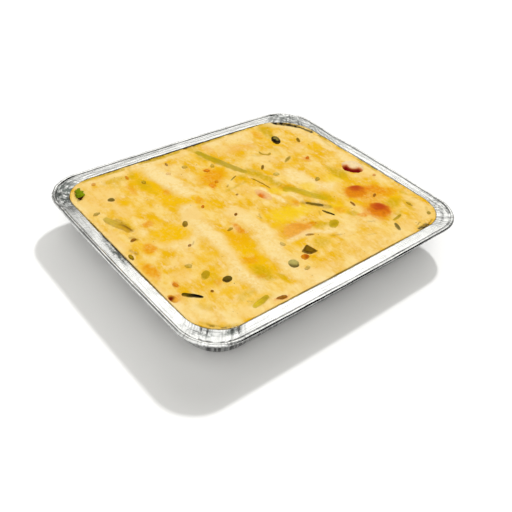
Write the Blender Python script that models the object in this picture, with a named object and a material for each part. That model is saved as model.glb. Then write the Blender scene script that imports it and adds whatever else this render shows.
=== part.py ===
"""Foil tray meal: a shallow foil tray, filled to the brim with a baked cream and vegetable dish.

The origin is the middle of the base, on the surface that the tray stands on. X runs along the long sides,
Y along the short ones and Z is up. Lengths are in metres. A place on the food is given in plan, as X and Y.
"""

import math
import random

import bmesh
import bpy
from mathutils import Matrix, Vector, geometry, noise

# Tray: the outside of its rim, its mouth and its base
RIM_SIZE = (0.322, 0.2658)
RIM_CORNERS = (0.0372, 0.0372, 0.0372, 0.0372)
MOUTH_SIZE = (0.295, 0.2384)
MOUTH_CORNERS = (0.046, 0.031, 0.033, 0.033)
BASE_SIZE = (0.2754, 0.2192)
BASE_CORNERS = (0.030, 0.030, 0.030, 0.030)
TRAY_HEIGHT = 0.043
FLANGE_LEVEL = 0.0421
FOIL = 0.0006
BASE_BEND = 0.0045
BEAD_RADIUS = 0.0020
EDGE_BOW = 0.0010

# Folds pressed into the foil, and the dents that handling left in the rim
CORNER_STEPS = 14
LONG_STEPS = 20
SHORT_STEPS = 16
FOLD_DEPTH = 0.0006
SIDE_FOLD = 0.45
RIM_WAVE = 0.0004
RIM_DENTS = (((0.161, 0.055), 0.0022, 0.016), ((0.152, 0.118), 0.0012, 0.010))

# Food: its level at the foil, its crown, and how its top is divided
GAP = 0.0005
EDGE_LEVEL = 0.0400
CROWN = 0.0014
CROWN_REACH = 0.009
TOP_SPACING = 0.0098
LUMP_HEIGHT = 0.0007
LUMP_SIZE = 0.017

# Soft folds in the top of the food: start, end, half width and height of each
FOLDS = (
    ((-0.124, 0.105), (-0.128, -0.080), 0.012, 0.0010),
    ((-0.056, 0.112), (-0.060, 0.030), 0.013, 0.0022),
    ((-0.064, 0.022), (-0.076, -0.092), 0.011, 0.0019),
    ((-0.073, 0.098), (-0.064, 0.040), 0.009, -0.0017),
    ((-0.020, 0.100), (-0.036, 0.020), 0.013, 0.0010),
    ((-0.094, 0.016), (-0.090, -0.004), 0.014, -0.0012),
    ((-0.053, -0.022), (-0.062, -0.100), 0.010, -0.0014),
    ((-0.030, -0.016), (-0.034, -0.075), 0.012, 0.0016),
    ((-0.012, 0.064), (-0.004, 0.050), 0.016, -0.0010),
    ((0.036, 0.112), (0.044, 0.014), 0.014, 0.0018),
    ((0.082, 0.022), (0.074, -0.020), 0.012, 0.0017),
    ((0.010, -0.026), (0.016, -0.034), 0.014, -0.0009),
    ((0.018, -0.094), (0.078, -0.108), 0.012, 0.0012),
    ((0.124, 0.096), (0.134, 0.030), 0.012, 0.0013),
    ((0.124, -0.056), (0.132, -0.064), 0.014, -0.0010),
    ((0.106, 0.008), (0.107, -0.016), 0.010, -0.0010),
)

# Sunk pieces: what stays between a piece and the food round it, and how high a socket is cut
SOCKET_GAP = 0.0004
SOCKET_TOP = 0.008


def remove_scene_objects():
    for old in list(bpy.data.objects):
        bpy.data.objects.remove(old)


def material(name, colour, roughness, metallic=0.0):
    made = bpy.data.materials.new(name)
    made.use_nodes = True
    shader = made.node_tree.nodes["Principled BSDF"]
    shader.inputs["Base Color"].default_value = (*colour, 1)
    shader.inputs["Roughness"].default_value = roughness
    shader.inputs["Metallic"].default_value = metallic
    return made


def object_from(shape, name, finish):
    """The object of a finished bmesh, with its faces pointing out and its curves shaded smooth."""
    bmesh.ops.recalc_face_normals(shape, faces=shape.faces)
    mesh = bpy.data.meshes.new(name)
    shape.to_mesh(mesh)
    shape.free()
    mesh.materials.append(finish)
    mesh.shade_smooth()
    mesh.set_sharp_from_angle(angle=math.radians(40))
    made = bpy.data.objects.new(name, mesh)
    bpy.context.scene.collection.objects.link(made)
    return made


# The tray's outlines


def outline(size, corners, bow=0.0):
    """Places and outward normals, anticlockwise from the start of the +X +Y corner: as many for any size."""
    half = Vector((size[0] / 2, size[1] / 2))
    signs = ((1, 1), (-1, 1), (-1, -1), (1, -1))

    def on_corner(corner, turn):
        angle = math.radians(90) * (corner + turn)
        normal = Vector((math.cos(angle), math.sin(angle)))
        radius = corners[corner]
        middle = Vector([sign * (reach - radius) for sign, reach in zip(signs[corner], half)])
        return middle + normal * radius, normal

    places = []
    for corner in range(4):
        for step in range(CORNER_STEPS + 1):
            places.append(on_corner(corner, step / CORNER_STEPS))
        start, normal = places[-1]
        end = on_corner((corner + 1) % 4, 0)[0]
        steps = SHORT_STEPS if corner % 2 else LONG_STEPS
        for step in range(1, steps):
            share = step / steps
            bulge = normal * bow * math.sin(math.pi * share)
            places.append((start.lerp(end, share) + bulge, normal))
    return places


def dented(places):
    """The outline with its dents pushed in along its normals."""
    pushed = []
    for place, normal in places:
        depth = 0
        for middle, most, reach in RIM_DENTS:
            away = (place - Vector(middle)).length / reach
            depth += most * math.exp(-away * away)
        pushed.append((place - normal * depth, normal))
    return pushed


def fold_shares():
    """How far each place of an outline is folded out or in, from 1 to -1: most in the corners."""
    rng = random.Random(11)
    shares = []
    for corner in range(4):
        for step in range(CORNER_STEPS + 1):
            at_end = step in (0, CORNER_STEPS)
            shares.append(0 if at_end else rng.uniform(0.7, 1) * (-1) ** step)
        steps = SHORT_STEPS if corner % 2 else LONG_STEPS
        for step in range(1, steps):
            shares.append(SIDE_FOLD * rng.uniform(0.3, 1) * (-1) ** step)
    return shares


BASE = outline(BASE_SIZE, BASE_CORNERS)
MOUTH = outline(MOUTH_SIZE, MOUTH_CORNERS, EDGE_BOW)
RIM = dented(outline(RIM_SIZE, RIM_CORNERS, EDGE_BOW))
FOLD_SHARES = fold_shares()


def ring(inner, outer, share, offset, level, fold=0.0, lift=0.0, wave=0.0):
    """One closed ring of points, between two outlines and moved along their normals."""
    points = []
    for (near, normal), (far, _), folded in zip(inner, outer, FOLD_SHARES):
        place = near.lerp(far, share) + normal * (offset + folded * fold)
        turn = math.atan2(place.y, place.x)
        height = level + folded * lift + wave * math.sin(3 * turn + 0.8)
        points.append((place.x, place.y, height))
    return points


def wall_ring(level, inset):
    """A ring on the drafted wall, so far inside its outer face."""
    share = level / FLANGE_LEVEL
    return ring(BASE, MOUTH, share, -inset, level, FOLD_DEPTH * share)


def base_rings(inset, level):
    """The two rings that turn from the flat base into the wall."""
    return [
        ring(BASE, BASE, 0, -BASE_BEND - inset / 2, level),
        ring(BASE, MOUTH, 0.02, -BASE_BEND * 0.30 - inset, level + BASE_BEND * 0.26),
    ]


def join_rows(shape, first, second):
    """Triangles between two rows of vertices. They lean the same way on foil and food."""
    low, high = sorted((first, second), key=lambda row: row[0].co.z)
    for index in range(len(low)):
        after = (index + 1) % len(low)
        shape.faces.new((low[index], low[after], high[after]))
        shape.faces.new((low[index], high[after], high[index]))


def join_rings(shape, rings):
    """The rows of vertices of the rings, each joined to the next."""
    rows = [[shape.verts.new(point) for point in points] for points in rings]
    for first, second in zip(rows, rows[1:]):
        join_rows(shape, first, second)
    return rows


def make_pan(foil):
    """The pressed base and wall: up the outside, over the edge under the rim and back down the inside."""
    top = FLANGE_LEVEL - FOIL - GAP
    rings = [
        *base_rings(0, 0),
        wall_ring(BASE_BEND, 0),
        wall_ring(top, 0),
        wall_ring(top, FOIL),
        wall_ring(BASE_BEND, FOIL),
        *reversed(base_rings(FOIL, FOIL)),
    ]
    shape = bmesh.new()
    rows = join_rings(shape, rings)
    shape.faces.new(rows[0])
    shape.faces.new(rows[-1])
    return object_from(shape, "tray", foil)


def make_rim(foil):
    """The flat flange round the mouth and the bead rolled along its outer edge, as one closed band."""
    under = FLANGE_LEVEL - FOIL
    fold = FOLD_DEPTH * 0.5
    rings = [
        ring(MOUTH, RIM, 0.03, 0, under, FOLD_DEPTH, 0.0001, RIM_WAVE),
        ring(MOUTH, RIM, 0.70, 0, under, fold, 0.0002, RIM_WAVE),
    ]
    for angle in (215, 270, 330, 20, 70, 120):
        turn = math.radians(angle)
        offset = BEAD_RADIUS * (math.cos(turn) - 1)
        level = TRAY_HEIGHT + BEAD_RADIUS * (math.sin(turn) - 1)
        rings.append(ring(RIM, RIM, 0, offset, level, fold, 0.0002, RIM_WAVE))
    rings += [
        ring(RIM, RIM, 0, -BEAD_RADIUS * 2.1, FLANGE_LEVEL - 0.0001, fold, 0.0002, RIM_WAVE),
        ring(MOUTH, RIM, 0.45, 0, FLANGE_LEVEL, fold, 0.0003, RIM_WAVE),
        ring(MOUTH, RIM, 0.14, 0, FLANGE_LEVEL, FOLD_DEPTH, 0.0002, RIM_WAVE),
        ring(MOUTH, RIM, 0, -FOIL, FLANGE_LEVEL - FOIL * 0.8, FOLD_DEPTH, 0.0001, RIM_WAVE),
    ]
    shape = bmesh.new()
    rows = join_rings(shape, rings)
    join_rows(shape, rows[-1], rows[0])
    return object_from(shape, "tray_rim", foil)


# The food's top


def depth_inside(x, y):
    """How far a place is inside the mouth of the tray."""
    corner = {(True, True): 0, (False, True): 1, (False, False): 2, (True, False): 3}[x > 0, y > 0]
    radius = MOUTH_CORNERS[corner]
    over_x = abs(x) - (MOUTH_SIZE[0] / 2 - radius)
    over_y = abs(y) - (MOUTH_SIZE[1] / 2 - radius)
    outside = math.hypot(max(over_x, 0), max(over_y, 0))
    return radius - outside - min(max(over_x, over_y), 0)


def top_level(x, y):
    """The height of the food's top: a low crown, its soft folds and small lumps."""
    rise = 1 - math.exp(-max(depth_inside(x, y), 0) / CROWN_REACH)
    level = CROWN
    place = Vector((x, y))
    for start, end, reach, height in FOLDS:
        near, share = geometry.intersect_point_line(place, Vector(start), Vector(end))
        if share < 0:
            near = Vector(start)
        elif share > 1:
            near = Vector(end)
        away = (place - near.to_2d()).length / reach
        level += height * math.exp(-away * away)
    level += LUMP_HEIGHT * noise.noise(Vector((x / LUMP_SIZE, y / LUMP_SIZE, 0)))
    return EDGE_LEVEL + rise * level


def make_food(finish):
    """The filling: it follows the tray's inner wall, and its top is a net of triangles over the folds."""
    inset = FOIL + GAP
    rings = [
        *base_rings(inset, inset),
        wall_ring(BASE_BEND + GAP, inset),
        wall_ring(EDGE_LEVEL, inset),
    ]
    shape = bmesh.new()
    rows = join_rings(shape, rings)
    shape.faces.new(rows[0])
    rim = rows[-1]
    places = [vertex.co.to_2d() for vertex in rim]
    row = 0
    y = -MOUTH_SIZE[1] / 2
    while y < MOUTH_SIZE[1] / 2:
        x = -MOUTH_SIZE[0] / 2 + TOP_SPACING * (row % 2) / 2
        while x < MOUTH_SIZE[0] / 2:
            if depth_inside(x, y) > TOP_SPACING * 0.6:
                places.append(Vector((x, y)))
            x += TOP_SPACING
        y += TOP_SPACING * math.sqrt(3) / 2
        row += 1
    edge = list(range(len(rim)))
    net = geometry.delaunay_2d_cdt(places, [], [edge], 1, 1e-7)
    corners = []
    for place, sources in zip(net[0], net[3]):
        on_rim = [source for source in sources if source < len(rim)]
        if on_rim:
            corners.append(rim[on_rim[0]])
        else:
            corners.append(shape.verts.new((place.x, place.y, top_level(place.x, place.y))))
    for face in net[2]:
        shape.faces.new([corners[index] for index in face])
    return object_from(shape, "bake", finish)


# Pieces that lie in the top of the food. Each has a cutter of the same outline, which makes its socket.


def slab(name, finish, places, proud, sunk, crown=0.0, tilt=None, round_edge=0.0008):
    """A flat piece with this outline, its edges eased, so far above and below the food's top at its middle."""
    middle = sum(places, Vector((0, 0))) / len(places)
    level = top_level(*middle)
    turn = tilt if tilt else Matrix.Identity(3)
    at = Vector((middle.x, middle.y, level))

    def row(shape, grow, height):
        made = []
        for place in places:
            out = (place - middle).normalized() * grow
            local = Vector((*(place - middle + out), height))
            made.append(shape.verts.new(at + turn @ local))
        return made

    def build(rows_at, crown_at):
        shape = bmesh.new()
        rows = [row(shape, grow, height) for grow, height in rows_at]
        shape.faces.new(rows[0])
        for low, high in zip(rows, rows[1:]):
            for index in range(len(low)):
                after = (index + 1) % len(low)
                shape.faces.new((low[index], low[after], high[after], high[index]))
        peak = shape.verts.new(at + turn @ Vector((0, 0, crown_at)))
        for index in range(len(rows[-1])):
            shape.faces.new((rows[-1][index], rows[-1][(index + 1) % len(places)], peak))
        return shape

    rows_at = [(-round_edge, -sunk), (0, proud - round_edge), (-round_edge, proud)]
    piece = object_from(build(rows_at, proud + crown), name, finish)
    cut_rows = [(SOCKET_GAP, -sunk - SOCKET_GAP), (SOCKET_GAP, SOCKET_TOP)]
    cutter = object_from(build(cut_rows, SOCKET_TOP + 0.001), name + "_socket", finish)
    return piece, cutter


def oval(x, y, across, along, angle=0.0, sides=14, uneven=0.04, seed=1):
    """The outline of a slightly uneven oval, its second half size along the turned Y."""
    rng = random.Random(seed)
    turn = Matrix.Rotation(math.radians(angle), 2)
    places = []
    for side in range(sides):
        around = 2 * math.pi * side / sides
        scale = 1 + rng.uniform(-uneven, uneven)
        local = Vector((across * math.cos(around), along * math.sin(around))) * scale
        places.append(Vector((x, y)) + turn @ local)
    return places


def smooth_route(points, steps):
    """Places along a smooth curve through hand-set points."""
    route = [Vector(point) for point in points]
    ends = [route[0] * 2 - route[1], *route, route[-1] * 2 - route[-2]]
    places = []
    for step in range(steps + 1):
        along = step / steps * (len(route) - 1)
        part = min(int(along), len(route) - 2)
        t = along - part
        a, b, c, d = ends[part : part + 4]
        places.append(
            0.5 * (2 * b + (c - a) * t + (2 * a - 5 * b + 4 * c - d) * t**2 + (3 * b - a - 3 * c + d) * t**3)
        )
    return places


def strip(name, finish, points, width, proud, sunk, steps=7, blunt=0.55):
    """A strip that follows the food's top along a route, crowned across and narrower at its ends."""
    places = smooth_route(points, steps)

    def build(grow, low, high, flat_top):
        shape = bmesh.new()
        rows = []
        for index, place in enumerate(places):
            before = places[max(index - 1, 0)]
            after = places[min(index + 1, steps)]
            ahead = (after - before).normalized()
            side = Vector((-ahead.y, ahead.x))
            share = index / steps
            half = width / 2 * (blunt + (1 - blunt) * math.sin(math.pi * share) ** 0.5) + grow
            reach = place
            if index == 0:
                reach = place - ahead * grow
            elif index == steps:
                reach = place + ahead * grow
            level = top_level(*place)
            left = reach + side * half
            right = reach - side * half
            section = [(left, level + low * 0.6), (reach, level + low), (right, level + low * 0.6)]
            if flat_top:
                section += [(right, level + high), (left, level + high)]
            else:
                section += [
                    (right, level + high * 0.25),
                    (reach - side * half * 0.55, level + high * 0.85),
                    (reach + side * half * 0.55, level + high * 0.85),
                    (left, level + high * 0.25),
                ]
            rows.append([shape.verts.new((*spot, height)) for spot, height in section])
        for here, there in zip(rows, rows[1:]):
            for index in range(len(here)):
                after = (index + 1) % len(here)
                shape.faces.new((here[index], here[after], there[after], there[index]))
        shape.faces.new(rows[0])
        shape.faces.new(rows[-1])
        return shape

    piece = object_from(build(0, -sunk, proud, False), name, finish)
    cutter_shape = build(SOCKET_GAP, -sunk - SOCKET_GAP / 0.6, SOCKET_TOP, True)
    cutter = object_from(cutter_shape, name + "_socket", finish)
    return piece, cutter


def pea(name, finish, x, y, across, along, angle, proud):
    """A rounded piece, its widest part at the food's top or above."""
    height = (across + along) / 2 * 0.8
    at = Vector((x, y, top_level(x, y) + proud - height))
    turn = Matrix.Rotation(math.radians(angle), 4, "Z")

    def build(grow):
        shape = bmesh.new()
        size = Matrix.Diagonal((across + grow, along + grow, height + grow, 1))
        place = Matrix.Translation(at) @ turn @ size
        bmesh.ops.create_icosphere(shape, subdivisions=2, radius=1, matrix=place)
        return shape

    piece = object_from(build(0), name, finish)
    return piece, object_from(build(SOCKET_GAP * 1.25), name + "_socket", finish)


def leaf(name, finish, points, width, lift, wave, steps=6, thickness=0.0007):
    """A thin wavy leaf that lies just over the food, both faces split into the same triangles."""
    places = smooth_route(points, steps)
    across = (-1, 0, 1)
    shape = bmesh.new()
    faces = []
    for face_lift in (0, thickness):
        rows = []
        for index, place in enumerate(places):
            before = places[max(index - 1, 0)]
            after = places[min(index + 1, steps)]
            ahead = (after - before).normalized()
            side = Vector((-ahead.y, ahead.x))
            half = width / 2 * (0.25 + 0.75 * math.sin(math.pi * (0.08 + 0.84 * index / steps)))
            row = []
            for step in across:
                spot = place + side * half * step
                ripple = wave * (math.sin(index * 1.7 + step) * 0.5 + 0.5 + 0.6 * abs(step))
                level = top_level(*spot) + lift + ripple + face_lift
                row.append(shape.verts.new((*spot, level)))
            rows.append(row)
        faces.append(rows)
    for rows in faces:
        for here, there in zip(rows, rows[1:]):
            for index in range(len(across) - 1):
                shape.faces.new((here[index], here[index + 1], there[index + 1]))
                shape.faces.new((here[index], there[index + 1], there[index]))
    under, over = faces
    around = [(0, i) for i in range(len(across))]
    around += [(i, len(across) - 1) for i in range(1, steps + 1)]
    around += [(steps, i) for i in range(len(across) - 2, -1, -1)]
    around += [(i, 0) for i in range(steps - 1, 0, -1)]
    for (a, b), (c, d) in zip(around, around[1:] + around[:1]):
        shape.faces.new((under[a][b], under[c][d], over[c][d], over[a][b]))
    return object_from(shape, name, finish)


def tilted(direction, degrees):
    """A tilt that raises the side of a piece that lies in this direction, in degrees from +X."""
    axis = Vector((math.sin(math.radians(direction)), -math.cos(math.radians(direction)), 0))
    return Matrix.Rotation(math.radians(degrees), 3, axis)


def half_disc(x, y, radius, start, end, sides):
    """The outline of a disc that is cut straight across where sauce covers the rest of it."""
    places = []
    for side in range(sides + 1):
        around = math.radians(start + (end - start) * side / sides)
        places.append(Vector((x + radius * math.cos(around), y + radius * math.sin(around))))
    return places


def make_carrots(carrot):
    """Slices and bits of carrot, each in its socket. The first stands highest, under a coat of cream."""
    pairs = [
        slab("carrot_slice_1", carrot, oval(0.129, -0.004, 0.0125, 0.0125), 0.0030, 0.002, 0.0010, tilted(40, 4)),
        slab("carrot_slice_2", carrot, oval(0.096, -0.039, 0.0158, 0.0112, 8, seed=2), 0.0016, 0.002, 0.0004),
        slab("carrot_slice_3", carrot, oval(0.0925, -0.0745, 0.0148, 0.0134, 20, seed=3), 0.0016, 0.002, 0.0004),
        slab("carrot_slice_4", carrot, half_disc(0.001, -0.060, 0.0182, 5, 185, 12), 0.0012, 0.002, 0.0003,
             tilted(90, 4)),
        slab("carrot_slice_5", carrot, oval(0.0125, 0.0065, 0.0066, 0.0116, 6, seed=5), 0.0014, 0.002, 0.0004,
             tilted(0, -5)),
        slab("carrot_slice_6", carrot, oval(0.0295, -0.0165, 0.0072, 0.0114, -6, seed=6), 0.0010, 0.002, 0.0003),
        slab("carrot_cube_1", carrot, oval(-0.0188, -0.0868, 0.0048, 0.0036, 8, 6, 0.1, 7), 0.0022, 0.002, 0.0002),
        slab("carrot_bit_1", carrot, oval(-0.1424, -0.0655, 0.0036, 0.0062, 8, 8, 0.08, 8), 0.0014, 0.002, 0.0003),
    ]
    return pairs


def make_greens(leek, green, dark):
    """Strips of leek, beans and dark leaves and slivers, each in its socket."""
    pairs = [
        strip("leek_strip_1", leek, ((0.0055, 0.111), (0.006, 0.096), (0.0115, 0.080), (0.0175, 0.062),
                                     (0.0255, 0.044)), 0.0115, 0.0012, 0.0015, 8),
        strip("leek_strip_2", leek, ((0.033, 0.004), (0.044, -0.004), (0.052, -0.018), (0.063, -0.036)),
              0.0120, 0.0012, 0.0015, 7),
        strip("leek_strip_3", leek, ((-0.097, -0.1095), (-0.087, -0.1080), (-0.077, -0.1055)), 0.0066, 0.0012,
              0.0012, 4),
        strip("leek_strip_4", green, ((0.0905, -0.0942), (0.098, -0.0930), (0.106, -0.0912)), 0.0040, 0.0010,
              0.0012, 4),
        slab("leek_piece_1", leek, oval(0.038, -0.066, 0.0076, 0.0052, 28, 8, 0.06, 9), 0.0011, 0.0015, 0.0003),
        slab("leek_piece_2", leek, oval(-0.1045, -0.0575, 0.0066, 0.0040, 38, 8, 0.06, 10), 0.0011, 0.0015,
             0.0003),
        strip("leek_ring_1", green, ((0.0620, 0.0735), (0.0615, 0.066), (0.067, 0.0625), (0.0725, 0.0655)),
              0.0038, 0.0010, 0.0012, 5),
        strip("bean_pod_1", leek, ((-0.1345, 0.057), (-0.132, 0.044), (-0.1275, 0.032), (-0.1245, 0.023)),
              0.0090, 0.0016, 0.0015, 6, 0.45),
        slab("bean_bit_1", green, oval(-0.1428, -0.0045, 0.0022, 0.0046, -4, 8, 0.05, 11), 0.0012, 0.0012,
             0.0003),
        strip("herb_sprig_1", dark, ((0.0385, -0.0255), (0.0445, -0.0335), (0.0515, -0.0395)), 0.0052, 0.0014,
              0.0012, 5, 0.4),
        strip("herb_sprig_2", dark, ((0.0435, -0.0435), (0.0460, -0.0500), (0.0490, -0.0572)), 0.0030, 0.0012,
              0.0010, 4),
        strip("herb_stalk_1", dark, ((0.0205, 0.0365), (0.0243, 0.024), (0.0262, 0.010)), 0.0018, 0.0008,
              0.0008, 5),
        strip("herb_stalk_2", dark, ((0.0010, 0.0440), (0.0060, 0.0462), (0.0122, 0.0482)), 0.0020, 0.0008,
              0.0008, 4),
        slab("dark_leaf_1", dark, oval(0.0948, 0.0820, 0.0052, 0.0100, -28, 10, 0.05, 12), 0.0022, 0.0015,
             0.0003, tilted(-30, 6)),
        strip("dark_leaf_2", dark, ((-0.1345, -0.0655), (-0.1300, -0.0710), (-0.1215, -0.0795)), 0.0050, 0.0014,
              0.0010, 5, 0.3),
        slab("dark_piece_1", dark, [Vector(p) for p in ((-0.0030, -0.0870), (-0.0062, -0.0750),
                                                         (-0.0175, -0.0800), (-0.0120, -0.0868))],
             0.0026, 0.0015, 0.0003),
        slab("dark_sliver_1", dark, oval(0.0865, -0.1030, 0.0026, 0.0066, -28, 8, 0.05, 13), 0.0012, 0.001),
        slab("dark_sliver_2", dark, oval(0.1165, 0.0685, 0.0021, 0.0066, -28, 8, 0.05, 14), 0.0011, 0.001),
        slab("dark_sliver_3", dark, oval(0.0430, 0.0440, 0.0017, 0.0060, -46, 8, 0.05, 15), 0.0011, 0.001),
        slab("dark_sliver_4", green, oval(0.0785, 0.0440, 0.0023, 0.0090, -63, 8, 0.05, 16), 0.0010, 0.001),
        pea("dark_pea_1", dark, -0.0930, -0.0720, 0.0052, 0.0040, 5, 0.0022),
        pea("dark_pea_2", dark, -0.1155, 0.0757, 0.0038, 0.0033, 0, 0.0018),
        pea("pea_1", green, -0.0338, -0.0878, 0.0055, 0.0055, 0, 0.0026),
        pea("pea_2", green, -0.0782, 0.0092, 0.0030, 0.0050, -35, 0.0016),
        pea("pea_3", green, 0.0465, 0.0265, 0.0045, 0.0038, 0, 0.0014),
    ]
    return pairs


# Small flakes of herb, carrot and pepper stuck in the top: place, half sizes and angle
FLAKES = (
    ((0.0990, 0.0350), 0.0032, 0.0020, 35),
    ((0.0770, -0.0030), 0.0034, 0.0022, 30),
    ((0.1370, -0.0280), 0.0026, 0.0016, 20),
    ((0.0775, -0.0530), 0.0014, 0.0042, -10),
    ((0.1085, -0.0540), 0.0040, 0.0014, 25),
    ((0.0070, -0.0655), 0.0040, 0.0013, -25),
    ((-0.0240, -0.0630), 0.0024, 0.0030, 0),
    ((-0.0270, -0.0985), 0.0034, 0.0016, 10),
    ((-0.0690, -0.1135), 0.0050, 0.0020, -12),
    ((-0.1100, -0.0410), 0.0030, 0.0030, 0),
    ((-0.1322, -0.0545), 0.0018, 0.0034, 0),
    ((-0.0315, -0.0055), 0.0026, 0.0015, 35),
    ((-0.0485, -0.0190), 0.0030, 0.0015, 8),
    ((-0.0930, -0.0185), 0.0022, 0.0014, 30),
    ((-0.1370, 0.0640), 0.0034, 0.0020, 0),
    ((-0.1160, 0.1080), 0.0022, 0.0030, -20),
    ((-0.0830, 0.1020), 0.0015, 0.0034, -15),
    ((-0.0370, 0.1020), 0.0013, 0.0032, -15),
    ((-0.0730, 0.0870), 0.0020, 0.0034, -20),
    ((-0.0250, 0.0870), 0.0030, 0.0026, 0),
    ((-0.0455, 0.0850), 0.0026, 0.0030, 0),
    ((-0.0085, 0.0715), 0.0036, 0.0028, 0),
    ((-0.0505, 0.0205), 0.0028, 0.0015, 40),
    ((-0.0095, 0.0205), 0.0018, 0.0012, 20),
    ((-0.1300, 0.0130), 0.0030, 0.0018, 10),
    ((-0.1120, -0.0765), 0.0013, 0.0013, 0),
    ((0.1270, -0.0840), 0.0016, 0.0040, 0),
    ((0.1320, -0.1050), 0.0028, 0.0020, 45),
    ((-0.0120, 0.0500), 0.0020, 0.0026, -30),
    ((0.0020, 0.0760), 0.0022, 0.0032, -30),
)


def make_flakes(finish):
    """Squat lumps, wider than they are high and a little way into the food."""
    made = []
    for index, ((x, y), across, along, angle) in enumerate(FLAKES):
        shape = bmesh.new()
        place = Matrix.Translation((x, y, top_level(x, y)))
        turn = Matrix.Rotation(math.radians(angle), 4, "Z")
        size = Matrix.Diagonal((across, along, 0.0011, 1))
        bmesh.ops.create_icosphere(shape, subdivisions=1, radius=1, matrix=place @ turn @ size)
        made.append(object_from(shape, f"flake_{index + 1}", finish))
    return made


def combine(body, others, operation, solver):
    """Cuts a body with these objects or joins them to it, and removes them."""
    group = bpy.data.collections.new("combined")
    for other in others:
        group.objects.link(other)
    change = body.modifiers.new("change", "BOOLEAN")
    change.operation = operation
    change.operand_type = "COLLECTION"
    change.collection = group
    change.solver = solver
    bpy.context.view_layer.update()
    graph = bpy.context.evaluated_depsgraph_get()
    mesh = bpy.data.meshes.new_from_object(body.evaluated_get(graph))
    body.modifiers.clear()
    body.data = mesh
    for other in others:
        bpy.data.objects.remove(other)
    bpy.data.collections.remove(group)


def tidy_food(body):
    """Drops doubled points and flat slivers that the cuts left, and any scrap that came loose."""
    shape = bmesh.new()
    shape.from_mesh(body.data)
    bmesh.ops.remove_doubles(shape, verts=shape.verts, dist=1e-6)
    bmesh.ops.dissolve_degenerate(shape, edges=shape.edges, dist=2e-6)
    bmesh.ops.triangulate(shape, faces=shape.faces)
    bmesh.ops.recalc_face_normals(shape, faces=shape.faces)
    shape.to_mesh(body.data)
    shape.free()
    body.data.shade_smooth()
    body.data.set_sharp_from_angle(angle=math.radians(40))


def main():
    remove_scene_objects()
    foil = material("foil", (0.86, 0.87, 0.88), 0.28, 1.0)
    sauce = material("sauce", (0.93, 0.68, 0.26), 0.32)
    carrot = material("carrot", (0.91, 0.38, 0.06), 0.35)
    leek = material("leek", (0.60, 0.56, 0.08), 0.35)
    green = material("green", (0.38, 0.38, 0.16), 0.40)
    dark = material("dark_green", (0.09, 0.08, 0.03), 0.40)
    fresh = material("fresh_green", (0.36, 0.44, 0.03), 0.40)

    make_pan(foil)
    make_rim(foil)
    food = make_food(sauce)
    pairs = make_carrots(carrot) + make_greens(leek, green, dark)
    leaf("green_leaf_1", fresh, ((-0.1385, 0.0915), (-0.1350, 0.0990), (-0.1335, 0.1085)), 0.0080, 0.0005, 0.0008)
    combine(food, [cutter for _, cutter in pairs], "DIFFERENCE", "EXACT")
    combine(food, make_flakes(sauce), "UNION", "EXACT")
    tidy_food(food)


main()
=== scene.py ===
import math
import random

import bmesh
import bpy
import numpy as np
from mathutils import Matrix, Vector, noise


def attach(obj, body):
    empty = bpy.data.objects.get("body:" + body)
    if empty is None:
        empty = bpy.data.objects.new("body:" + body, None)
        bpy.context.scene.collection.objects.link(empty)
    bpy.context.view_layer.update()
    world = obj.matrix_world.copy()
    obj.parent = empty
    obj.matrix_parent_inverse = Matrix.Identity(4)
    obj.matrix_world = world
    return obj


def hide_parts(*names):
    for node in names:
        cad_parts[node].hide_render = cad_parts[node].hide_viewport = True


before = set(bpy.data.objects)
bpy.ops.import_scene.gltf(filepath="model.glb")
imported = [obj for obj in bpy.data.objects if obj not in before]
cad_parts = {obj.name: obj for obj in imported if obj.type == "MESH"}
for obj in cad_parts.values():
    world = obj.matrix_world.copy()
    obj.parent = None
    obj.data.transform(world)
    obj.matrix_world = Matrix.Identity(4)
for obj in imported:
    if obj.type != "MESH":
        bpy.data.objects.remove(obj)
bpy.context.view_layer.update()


# Foil tray: one sheet of soft bright foil, pressed into a mould. The drafted wall stands in small flutes,
# the corners gather in pleats, and the edge of the flange is curled under into a bead. Handling has
# crumpled two of its corners.

RIM_SIZE = (0.322, 0.2658)
RIM_CORNERS = (0.0372,) * 4
MOUTH_SIZE = (0.295, 0.2384)
MOUTH_CORNERS = (0.046, 0.031, 0.033, 0.033)
BASE_SIZE = (0.2754, 0.2192)
BASE_CORNERS = (0.030,) * 4
FLANGE_LEVEL = 0.0421
BEAD_TOP = 0.0430
BEAD_RADIUS = 0.0020
BASE_BEND = 0.0045
MOUTH_BEND = 0.0012
EDGE_BOW = 0.0010
FLANGE_START = 0.08
FLANGE_WIDTH = 0.62
FLANGE_END = 0.70
SHEET = 0.00024
FARTHEST = np.array((0.1618, 0.1337))
CORNER_STEPS = 46
LONG_STEPS = 176
SHORT_STEPS = 134
RING_PLACES = 4 * (CORNER_STEPS + 1) + 2 * (LONG_STEPS - 1) + 2 * (SHORT_STEPS - 1)

# How deep the waves, streaks and flat facets of the soft foil go, and how far the bead sags along the front
BASE_FACETS = 0.00010
WALL_WAVES = 0.00035
WALL_FACETS = 0.00022
RIM_WAVES = 0.00018
RIM_STREAKS = 0.00020
FRONT_SAG = 0.0007

# Dents in the edge of the rim: middle, reach and depth
RIM_DENTS = (
    ((0.161, 0.055), 0.016, 0.0022),
    ((0.152, 0.118), 0.010, 0.0012),
)

# Crumpled places of the rim: middle, reach and depth, which also sets how dark their painted shade is
CRUMPLES = (
    ((-0.146, 0.112), 0.020, 0.0007),
    ((-0.153, 0.092), 0.011, 0.0006),
    ((0.143, 0.112), 0.022, 0.0008),
    ((0.157, 0.085), 0.015, 0.0006),
    ((0.156, 0.040), 0.034, 0.0003),
    ((0.118, 0.127), 0.014, 0.0003),
    ((0.154, -0.092), 0.013, 0.0009),
    ((0.146, -0.112), 0.014, 0.0005),
    ((-0.148, -0.098), 0.016, 0.0004),
    ((-0.140, -0.114), 0.014, 0.0003),
)
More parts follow.
